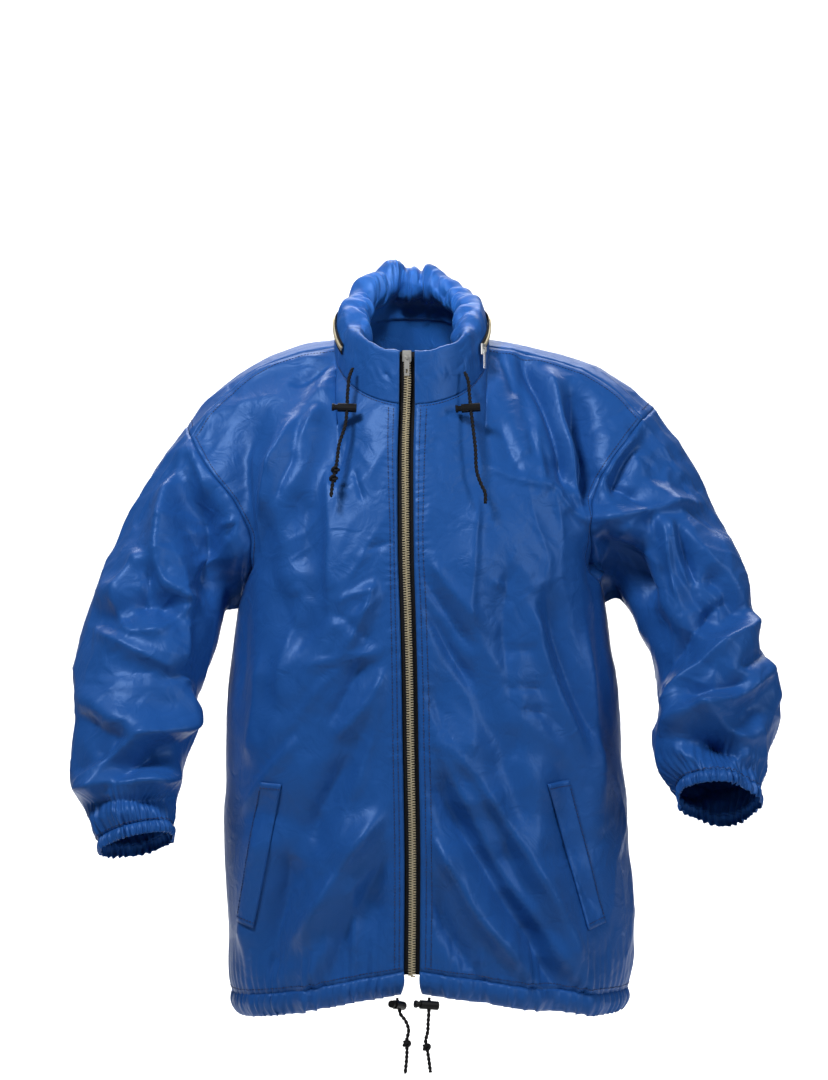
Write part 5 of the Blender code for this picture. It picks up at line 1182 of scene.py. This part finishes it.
def collar_section(angle):
    """The collar's section at an angle: pairs of how far out and up, and how full it is."""
    height, puff = read_table(COLLAR, math.degrees(angle))
    puff = min(max(puff, 0.0), 1.0)
    half_wall = COLLAR_FRONT_WALL / 2
    thick = mix(COLLAR_FRONT_WALL, COLLAR_ROLL, puff)
    outer = [half_wall + collar_swell(puff, f) for f in COLLAR_SHARES]
    outside = [(out, f * height) for out, f in zip(outer, COLLAR_SHARES)]
    middle = outer[4] - thick / 2
    over = [(middle + thick / 2 * math.cos(a), (0.84 + 0.16 * math.sin(a)) * height)
            for a in np.radians((40, 75, 105, 140))]
    inner_edge = outer[4] - thick
    inside = [(inner_edge, 0.84 * height),
              (inner_edge - 0.002 * puff, 0.62 * height),
              (mix(outer[2] - COLLAR_FRONT_WALL, inner_edge + 0.004, puff), 0.42 * height),
              (mix(outer[1], outer[2], 0.36) - mix(COLLAR_FRONT_WALL, 0.010, puff),
               0.28 * height),
              (outer[1] - mix(COLLAR_FRONT_WALL, 0.005, puff), 0.12 * height),
              (-half_wall, 0.0)]
    return outside + over + inside, puff


def collar_place(angle):
    """The neck seam's point at an angle and the outward direction there."""
    outward = unit((math.sin(angle) / NECK_HALF_WIDTH, -math.cos(angle) / NECK_HALF_DEPTH, 0.0))
    return neck_seam(angle), outward


def collar_ring(angle, around):
    """One fine closed section of the collar, with ruches that are strongest inside."""
    section, puff = collar_section(angle)
    corners = [(out, 0.0, up) for out, up in section]
    line = path_points(corners, around)[:, (0, 2)]
    foot, outward = collar_place(angle)
    middle = line.mean(axis=0)
    ring = []
    for number, (out, up) in enumerate(line):
        share = number / around
        inside = float(ease((share - 0.36) / 0.14) * ease((0.97 - share) / 0.2))
        top = float(ease((share - 0.18) / 0.2) * ease((0.9 - share) / 0.2))
        wander = soft_noise(angle * 2.1, share * 3.0, 1.0) * 2.6
        ruche = (1.6 * abs(math.sin(angle * 6.5 + wander * 1.6)) - 1.0
                 + soft_noise(angle * 18, share * 4.0, 4.0) * 0.8)
        lump = soft_noise(angle * 4.2, share * 2.4, 9.0)
        ripple = soft_noise(angle * 9, share * 7, 2.0)
        swell = puff * (inside * ruche * RUCHE_HEIGHT + top * lump * LUMP_HEIGHT
                        + (1 - inside) * ripple * RIPPLE_HEIGHT)
        crease = soft_noise(angle * 13 + share * 9, share * 5, 21.0)
        flat = (1 - puff) * float(ease(share / 0.08) * ease((0.96 - share) / 0.1))
        swell += flat * (crease * 0.0016 + soft_noise(angle * 5, share * 3, 3) * 0.002)
        away = unit(np.array((out, up)) - middle)
        ring.append(foot + outward * (out + away[0] * swell)
                    + np.array((0.0, 0.0, up + away[1] * swell - COLLAR_LAP)))
    return ring

# %% Build the collar


def loft_object(name, rings, finish):
    """A closed tube through rings of points, with flat ends, facing outwards."""
    count = rings.shape[1]
    faces = []
    for station in range(len(rings) - 1):
        for k in range(count):
            after = (k + 1) % count
            base = station * count
            faces.append((base + k, base + after, base + count + after, base + count + k))
    last = (len(rings) - 1) * count
    faces.append(tuple(range(count))[::-1])
    faces.append(tuple(last + k for k in range(count)))
    thing = mesh_object(name, rings.reshape(-1, 3).tolist(), faces, finish)
    shape = bmesh.new()
    shape.from_mesh(thing.data)
    bmesh.ops.recalc_face_normals(shape, faces=shape.faces)
    shape.to_mesh(thing.data)
    shape.free()
    return thing


collar_angles = np.linspace(neck_edge_angle(LEFT), 2 * math.pi - neck_edge_angle(RIGHT),
                            COLLAR_STATIONS)
rings = np.array([collar_ring(angle, COLLAR_AROUND) for angle in collar_angles])
collar = loft_object("collar_cloth", rings, nylon)
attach(collar, "garment")
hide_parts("collar")
print("collar:", len(collar.data.polygons), "faces")

# %% [markdown]
# ## Pieces that repeat along a line
# Teeth of a zip and stitches of a seam are one small shape repeated along a line. A Geometry
# Nodes tree takes a line of points, each with the direction that the cloth faces there, spaces
# copies of the shape along it and turns them to the line.

# %% The tree that repeats a small piece along a line


def make_row_tree():
    """Copies of an object along a line, turned to the line and to its facing."""
    tree = bpy.data.node_groups.new("pieces along a line", "GeometryNodeTree")
    new_socket(tree, "Line", "NodeSocketGeometry", "INPUT")
    new_socket(tree, "Spacing", "NodeSocketFloat", "INPUT", 0.003)
    new_socket(tree, "Unevenness", "NodeSocketFloat", "INPUT", 0.0)
    new_socket(tree, "Piece", "NodeSocketObject", "INPUT")
    new_socket(tree, "Finish", "NodeSocketMaterial", "INPUT")
    new_socket(tree, "Pieces", "NodeSocketGeometry", "OUTPUT")
    group_in = new_node(tree, "NodeGroupInput")
    group_out = new_node(tree, "NodeGroupOutput")
    to_curve = new_node(tree, "GeometryNodeMeshToCurve")
    spaced = new_node(tree, "GeometryNodeResampleCurve", mode="LENGTH")
    piece = new_node(tree, "GeometryNodeObjectInfo")
    facing = new_node(tree, "GeometryNodeInputNamedAttribute", {"Name": "facing"},
                      data_type="FLOAT_VECTOR")
    tangent = new_node(tree, "GeometryNodeInputTangent")
    upright = new_node(tree, "FunctionNodeAlignRotationToVector", axis="Z")
    turned = new_node(tree, "FunctionNodeAlignRotationToVector", axis="X", pivot_axis="Z")
    smallest = new_node(tree, "ShaderNodeMath", {0: 1.0}, operation="SUBTRACT")
    size = new_node(tree, "FunctionNodeRandomValue", {"Seed": 4, 3: 1.0}, data_type="FLOAT")
    copies = new_node(tree, "GeometryNodeInstanceOnPoints")
    real = new_node(tree, "GeometryNodeRealizeInstances")
    finish = new_node(tree, "GeometryNodeSetMaterial")
    link_nodes(tree,
               (group_in, "Line", to_curve, "Mesh"), (to_curve, "Curve", spaced, "Curve"),
               (group_in, "Spacing", spaced, "Length"), (group_in, "Piece", piece, "Object"),
               (facing, "Attribute", upright, "Vector"),
               (upright, "Rotation", turned, "Rotation"),
               (tangent, "Tangent", turned, "Vector"),
               (group_in, "Unevenness", smallest, 1), (smallest, "Value", size, 2),
               (spaced, "Curve", copies, "Points"), (piece, "Geometry", copies, "Instance"),
               (turned, "Rotation", copies, "Rotation"), (size, 1, copies, "Scale"),
               (copies, "Instances", real, "Geometry"), (real, "Geometry", finish, "Geometry"),
               (group_in, "Finish", finish, "Material"),
               (finish, "Geometry", group_out, "Pieces"))
    return tree


ROW_TREE = make_row_tree()


def line_object(lines):
    """A mesh of separate lines of points; each line comes with its facings."""
    points = []
    ways = []
    edges = []
    for line, facing in lines:
        start = len(points)
        points.extend(np.asarray(line).tolist())
        ways.extend(np.asarray(facing).tolist())
        edges.extend((start + k, start + k + 1) for k in range(len(line) - 1))
    thing = mesh_object("line", points, [], edges=edges)
    attribute = thing.data.attributes.new("facing", "FLOAT_VECTOR", "POINT")
    attribute.data.foreach_set("vector", np.array(ways, dtype=np.float32).ravel())
    return thing


def pieces_along(name, lines, block, spacing, finish, unevenness=0.0):
    """Repeat a small block along lines and turn the result into one plain mesh."""
    thing = line_object(lines)
    piece = small_block(*block)
    step = thing.modifiers.new("pieces along a line", "NODES")
    step.node_group = ROW_TREE
    values = {"Spacing": spacing, "Unevenness": unevenness, "Piece": piece, "Finish": finish}
    for item in ROW_TREE.interface.items_tree:
        if item.item_type == "SOCKET" and item.name in values:
            step[item.identifier] = values[item.name]
    bpy.context.view_layer.update()
    seen = thing.evaluated_get(bpy.context.evaluated_depsgraph_get())
    mesh = bpy.data.meshes.new_from_object(seen)
    for helper in (thing, piece):
        bpy.data.objects.remove(helper, do_unlink=True)
    mesh.name = name
    result = linked(name, mesh)
    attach(result, "garment")
    print(name, "has", len(mesh.polygons), "faces")
    return result


def small_block(size, taper):
    """A small block whose top is smaller than its foot, to be copied along a line."""
    half = np.array(size) / 2
    points = [(x * half[0] * grow, y * half[1] * grow, z * half[2])
              for z, grow in ((-1, 1.0), (0.2, 1.0), (1, taper))
              for x, y in ((-1, -1), (1, -1), (1, 1), (-1, 1))]
    faces = [(3, 2, 1, 0), (8, 9, 10, 11)]
    for layer in (0, 4):
        for k in range(4):
            after = (k + 1) % 4
            faces.append((layer + k, layer + after, layer + 4 + after, layer + 4 + k))
    return mesh_object("small block", points, faces)


# %% [markdown]
# ## Front zip
# Metal teeth are clamped to the edges of two woven tapes. The tapes show as black bands
# between the fronts; the teeth of the two sides alternate.

# %% Tapes and teeth of the front zip
TAPE_INNER = 0.0006
TAPE_OUTER = 0.0125
TAPE_DEPTH = 0.0032
TAPE_WALL = 0.0008
TOOTH = ((0.00150, 0.0050, 0.0034), 0.72)      # size, and how small its top is
TOOTH_PITCH = 0.0027


def tape_point(side, middle, across):
    """A point of a zip tape: it follows the rounding of the neck behind the collar's ends."""
    x = middle[0] + side * across
    round_back = NECK_HALF_DEPTH * (1 - math.sqrt(1 - (x / NECK_HALF_WIDTH) ** 2))
    share = float(ease((middle[2] + 0.22) / 0.12))
    return middle + np.array((side * across, TAPE_DEPTH + share * (round_back + 0.0005), 0.0))


zip_points = [zip_middle(z) for z in np.linspace(ZIP_BOTTOM_Z, ZIP_TOP_Z - 0.002, 110)]
for side in (RIGHT, LEFT):
    tape = np.array([[tape_point(side, middle, across)
                      for across in np.linspace(TAPE_INNER, TAPE_OUTER, 5)]
                     for middle in zip_points])
    name = SIDE_NAMES[side] + "_zip_tape"
    cloth_piece(name + "_weave", name, tape, False, side, tape_finish, TAPE_WALL)

chain_line = np.array([zip_middle(z) for z in np.linspace(ZIP_TOP_Z - 0.004, ZIP_BOTTOM_Z, 200)])
chain_facing = np.tile((0.0, -1.0, 0.0), (len(chain_line), 1))
for side in (RIGHT, LEFT):
    line = chain_line + np.array((side * 0.0014, -0.0004, 0.0))
    line[:, 2] -= (side + 1) / 2 * TOOTH_PITCH / 2
    pieces_along(SIDE_NAMES[side] + "_zip_teeth", [(line, chain_facing)], TOOTH,
                              TOOTH_PITCH, brass)
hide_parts("zip_chain")

# %% [markdown]
# ## Hood zip
# A short zip round the outside of the collar closes the pocket of the hood.

# %% Tape and teeth of the hood zip
HOOD_ZIP_START = math.radians(62)
HOOD_ZIP_END = math.radians(297)
HOOD_ZIP_SHARE = 0.45          # how high on the collar it is sewn
HOOD_TAPE_WIDTH = 0.0116
HOOD_TAPE_LIFT = 0.0016
HOOD_TOOTH = ((0.0011, 0.0040, 0.0020), 0.7)
HOOD_TOOTH_PITCH = 0.0017
HOOD_TEETH_LIFT = 0.0028


def collar_surface(angle, share, lift):
    """A point above the collar's outer face and the outward direction there."""
    height, puff = read_table(COLLAR, math.degrees(angle))
    foot, outward = collar_place(angle)
    out = COLLAR_FRONT_WALL / 2 + collar_swell(puff, share) + lift
    return foot + outward * out + np.array((0.0, 0.0, share * height + 0.0016)), outward


hood_angles = np.linspace(HOOD_ZIP_START, HOOD_ZIP_END, 120)
rows = []
for edge in np.linspace(-0.5, 0.5, 5):
    row = []
    for angle in hood_angles:
        height = read_table(COLLAR, math.degrees(angle))[0]
        share = HOOD_ZIP_SHARE + edge * HOOD_TAPE_WIDTH / height
        row.append(collar_surface(angle, share, HOOD_TAPE_LIFT)[0])
    rows.append(row)
cloth_piece("hood_zip_weave", "hood_zip", np.array(rows), False, 1, tape_finish,
            TAPE_WALL)
surface = [collar_surface(angle, HOOD_ZIP_SHARE, HOOD_TEETH_LIFT) for angle in hood_angles]
pieces_along("hood_zip_teeth", [tuple(np.array(part) for part in zip(*surface))], HOOD_TOOTH,
             HOOD_TOOTH_PITCH, brass)

# %% [markdown]
# ## Pocket welts
# Each side pocket has a slanted welt, a folded strip sewn down on three sides.

# %% Welts laid on the fronts
# Corners seen from the front: top inner, top outer, bottom outer, bottom inner.
POCKET_WELTS = {
    LEFT: ((0.1420, -0.4720), (0.1665, -0.4690), (0.2060, -0.6230), (0.1860, -0.6290)),
    RIGHT: ((0.1370, -0.4720), (0.1600, -0.4700), (0.1860, -0.6220), (0.1680, -0.6280)),
}
WELT_WALL = 0.0014
WELT_LIFT = 0.0020             # above the front, for the welt and for its stitches
WELT_STITCH_LIFT = 0.0031
WELT_INSET = 0.072             # how far the stitches lie in from the edge, as a share


def front_surface(side, place, lift):
    """The place above a front behind a spot seen from the front, and its facing."""
    name = SIDE_NAMES[side] + "_front"
    points = panels[name].reshape(-1, 3)
    gaps = (points[:, 0] - place[0]) ** 2 + (points[:, 2] - place[1]) ** 2
    nearest = np.argsort(gaps)[:6]
    weights = 1 / (gaps[nearest] + 1e-7)
    weights = weights / weights.sum()
    depth = float(weights @ points[nearest, 1])
    facing = unit(weights @ facings[name].reshape(-1, 3)[nearest])
    return np.array((place[0], depth, place[1])) + facing * lift, facing


stitch_lines = {"right": [], "left": [], "back": []}
for side in (RIGHT, LEFT):
    corners = [np.array((side * x, z)) for x, z in POCKET_WELTS[side]]
    top_inner, top_outer, bottom_outer, bottom_inner = corners
    grid = []
    for t in np.linspace(0, 1, 44):
        inner = mix(bottom_inner, top_inner, t)
        outer = mix(bottom_outer, top_outer, t)
        grid.append([front_surface(side, mix(inner, outer, u), WELT_LIFT)[0]
                     for u in np.linspace(0, 1, 9)])
    name = SIDE_NAMES[side] + "_pocket_welt"
    cloth_piece(name + "_cloth", name, np.array(grid), False, side, nylon,
                WELT_WALL)
    centre = sum(corners) / 4
    for start, end in ((bottom_outer, top_outer), (top_outer, top_inner),
                       (bottom_inner, bottom_outer)):
        route = [mix(mix(start, end, t), centre, WELT_INSET) for t in np.linspace(0.03, 0.97, 30)]
        surface = [front_surface(side, place, WELT_STITCH_LIFT) for place in route]
        stitch_lines[SIDE_NAMES[side]].append(tuple(np.array(part) for part in zip(*surface)))

# %% [markdown]
# ## Stitching
# The seams are sewn with blue thread, a little darker than the nylon: two rows beside the
# zip, one along each seam and above the hem and the cuffs.

# %% Stitches
STITCH_LIFT = 0.0005
STITCH = ((0.0026, 0.0010, 0.0008), 0.6)       # size, and how small its top is
STITCH_PITCH = 0.0034


def seam_line(name, rows, columns):
    """A line of stitches along part of a panel's grid."""
    points = panels[name][rows, columns]
    facing = facings[name][rows, columns]
    return points + facing * STITCH_LIFT, facing


SEAM_ROWS = (
    # panel, its rows and its columns
    ("front", slice(1, -4), 2), ("front", slice(1, -4), 4), ("front", 1, slice(2, -1)),
    ("front", -3, slice(2, NECK_COLUMNS)), ("front", -3, slice(NECK_COLUMNS, -2)),
    ("front", slice(LOW_ROWS, -3), -3), ("sleeve", -2, slice(None)),
    ("back", 1, slice(2, -2)), ("back", slice(LOW_ROWS, -3), 3),
    ("back", slice(LOW_ROWS, -3), -4),
)
for place, lines in stitch_lines.items():
    for panel, rows, columns in SEAM_ROWS:
        if (panel == "back") == (place == "back"):
            name = panel if place == "back" else place + "_" + panel
            lines.append(seam_line(name, rows, columns))
    pieces_along(place + "_stitches", lines, STITCH, STITCH_PITCH, thread, 0.25)

# %% [markdown]
# ## Knots of the cords
# The right collar cord is knotted twice near its end and each hem cord once. A knot is the
# cord wound round itself, so a closed loop of round cord stands for it: the path of a trefoil,
# drawn out along the cord.

# %% Knots
KNOT_CORD_RADIUS = 0.0015
KNOT_POINTS = 60
KNOT_WIDTH = 0.0012
KNOT_LENGTH = 0.0021


def knot(name, centre, way):
    """A small overhand knot: one closed loop of cord wound round the cord's own line."""
    way = unit(way)
    first = unit(np.cross(way, (0.3, 1.0, 0.2)))
    second = np.cross(way, first)
    curve = bpy.data.curves.new(name, "CURVE")
    curve.dimensions = "3D"
    curve.bevel_depth = KNOT_CORD_RADIUS
    curve.bevel_resolution = 3
    curve.use_fill_caps = True
    curve.materials.append(cord_finish)
    loop = curve.splines.new("POLY")
    loop.points.add(KNOT_POINTS - 1)
    loop.use_cyclic_u = True
    for target, t in zip(loop.points, np.linspace(0, 2 * math.pi, KNOT_POINTS, endpoint=False)):
        around = (2 + math.cos(3 * t)) * KNOT_WIDTH
        target.co = (*(centre + first * around * math.cos(2 * t)
                       + second * around * math.sin(2 * t)
                       + way * math.sin(3 * t) * KNOT_LENGTH), 1.0)
    piece = linked(name, curve)
    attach(piece, "garment")


KNOTS = (("collar_cord_right", 0.80), ("collar_cord_right", 0.865),
         ("hem_cord_right", 0.62), ("hem_cord_left", 0.66))
for name, share in KNOTS:
    line = path_points(CORD_ROUTES[name], CORD_STEPS)
    at = int(share * CORD_STEPS)
    knot("%s_knot_%d" % (name, at), line[at], line[at + 3] - line[at - 3])
print("knots:", len(KNOTS))

# %% [markdown]
# ## Finishes of the hard pieces
# The slider, the pull tabs and the cord locks keep their CAD shapes; each only needs its
# material, in place of the plain one that the frame came with.

# %% Materials on the carried-over pieces
METAL_PIECES = ("zip_slider", "zip_pull", "hood_zip_slider", "hood_zip_pull")

finished = [name for name in nodes if name in METAL_PIECES or "lock" in name]
for name in finished:
    materials = nodes[name].data.materials
    materials.clear()
    materials.append(steel if name in METAL_PIECES else black_plastic)
print("finished pieces:", len(finished))

# %% [markdown]
# ## Floor, backdrop and light
# A pale floor curves up into a pale backdrop, so no horizon shows. A key lamp on the left and
# a tall one on the right give the satin its highlights. A third lights the backdrop, and a
# faint one reaches into the neck. The air itself gives little light, but past the edges of
# the paper it looks white.

# %% Studio
FLOOR_Z = -1.30
FLOOR_FRONT = -2.3
FLOOR_HALF = 2.6
WALL_Y = 6.6
WALL_HEIGHT = 6.0
BEND_RADIUS = 0.8
AIR_STRENGTH = 0.08
WHITE = (1.0, 1.0, 1.0, 1.0)


def studio_sweep():
    """A floor that curves up behind the coat."""
    start = WALL_Y - BEND_RADIUS
    profile = [(FLOOR_FRONT, 0.0), (start, 0.0)]
    profile += [(start + BEND_RADIUS * math.sin(a), BEND_RADIUS - BEND_RADIUS * math.cos(a))
                for a in np.linspace(0.1, math.pi / 2, 12)]
    profile += [(WALL_Y, WALL_HEIGHT)]
    points = [(x, y, z + FLOOR_Z) for x in (-FLOOR_HALF, FLOOR_HALF) for y, z in profile]
    count = len(profile)
    faces = [(k, k + 1, count + k + 1, count + k) for k in range(count - 1)]
    finish = plain_finish("pale studio paper", (0.68, 0.68, 0.68), 0.9)[0]
    return mesh_object("studio sweep", points, faces, finish)


def area_lamp(name, place, target, size, power):
    """A soft lamp of a width and a height that points at a place."""
    lamp = bpy.data.lights.new(name, "AREA")
    lamp.shape = "RECTANGLE"
    lamp.size, lamp.size_y = size
    lamp.energy = power
    thing = linked(name, lamp)
    thing.location = place
    way = Vector(target) - Vector(place)
    thing.rotation_euler = way.to_track_quat("-Z", "Y").to_euler()
    return thing


sweep = studio_sweep()
lamps = [
    area_lamp("key lamp, high on the left", (-0.8, -1.3, 1.4), (0.0, 0.0, -0.1), (0.6, 0.45), 46),
    area_lamp("tall lamp on the right", (1.9, -1.7, 0.5), (0.0, 0.0, -0.35), (0.5, 1.5), 24),
    area_lamp("backdrop lamp", (0.0, 2.6, 3.6), (0.0, 6.0, -0.4), (4.5, 1.4), 760),
    area_lamp("small lamp over the neck", (0.0, -0.42, 0.40), (0.0, 0.07, 0.0), (0.1, 0.1), 0.09),
]
lamps[-1].data.spread = math.radians(22)
world = bpy.data.worlds.new("studio air")
world.use_nodes = True
tree = world.node_tree
faint = tree.nodes["Background"]
set_inputs(faint, {"Color": WHITE, "Strength": AIR_STRENGTH})
seen_white = new_node(tree, "ShaderNodeBackground", {"Color": WHITE})
rays = new_node(tree, "ShaderNodeLightPath")
choice = new_node(tree, "ShaderNodeMixShader")
link_nodes(tree,
           (rays, "Is Camera Ray", choice, "Fac"), (faint, "Background", choice, 1),
           (seen_white, "Background", choice, 2),
           (choice, "Shader", tree.nodes["World Output"], "Surface"))
bpy.context.scene.world = world
bpy.context.scene.view_settings.view_transform = "Standard"
print("studio lamps:", len(lamps))
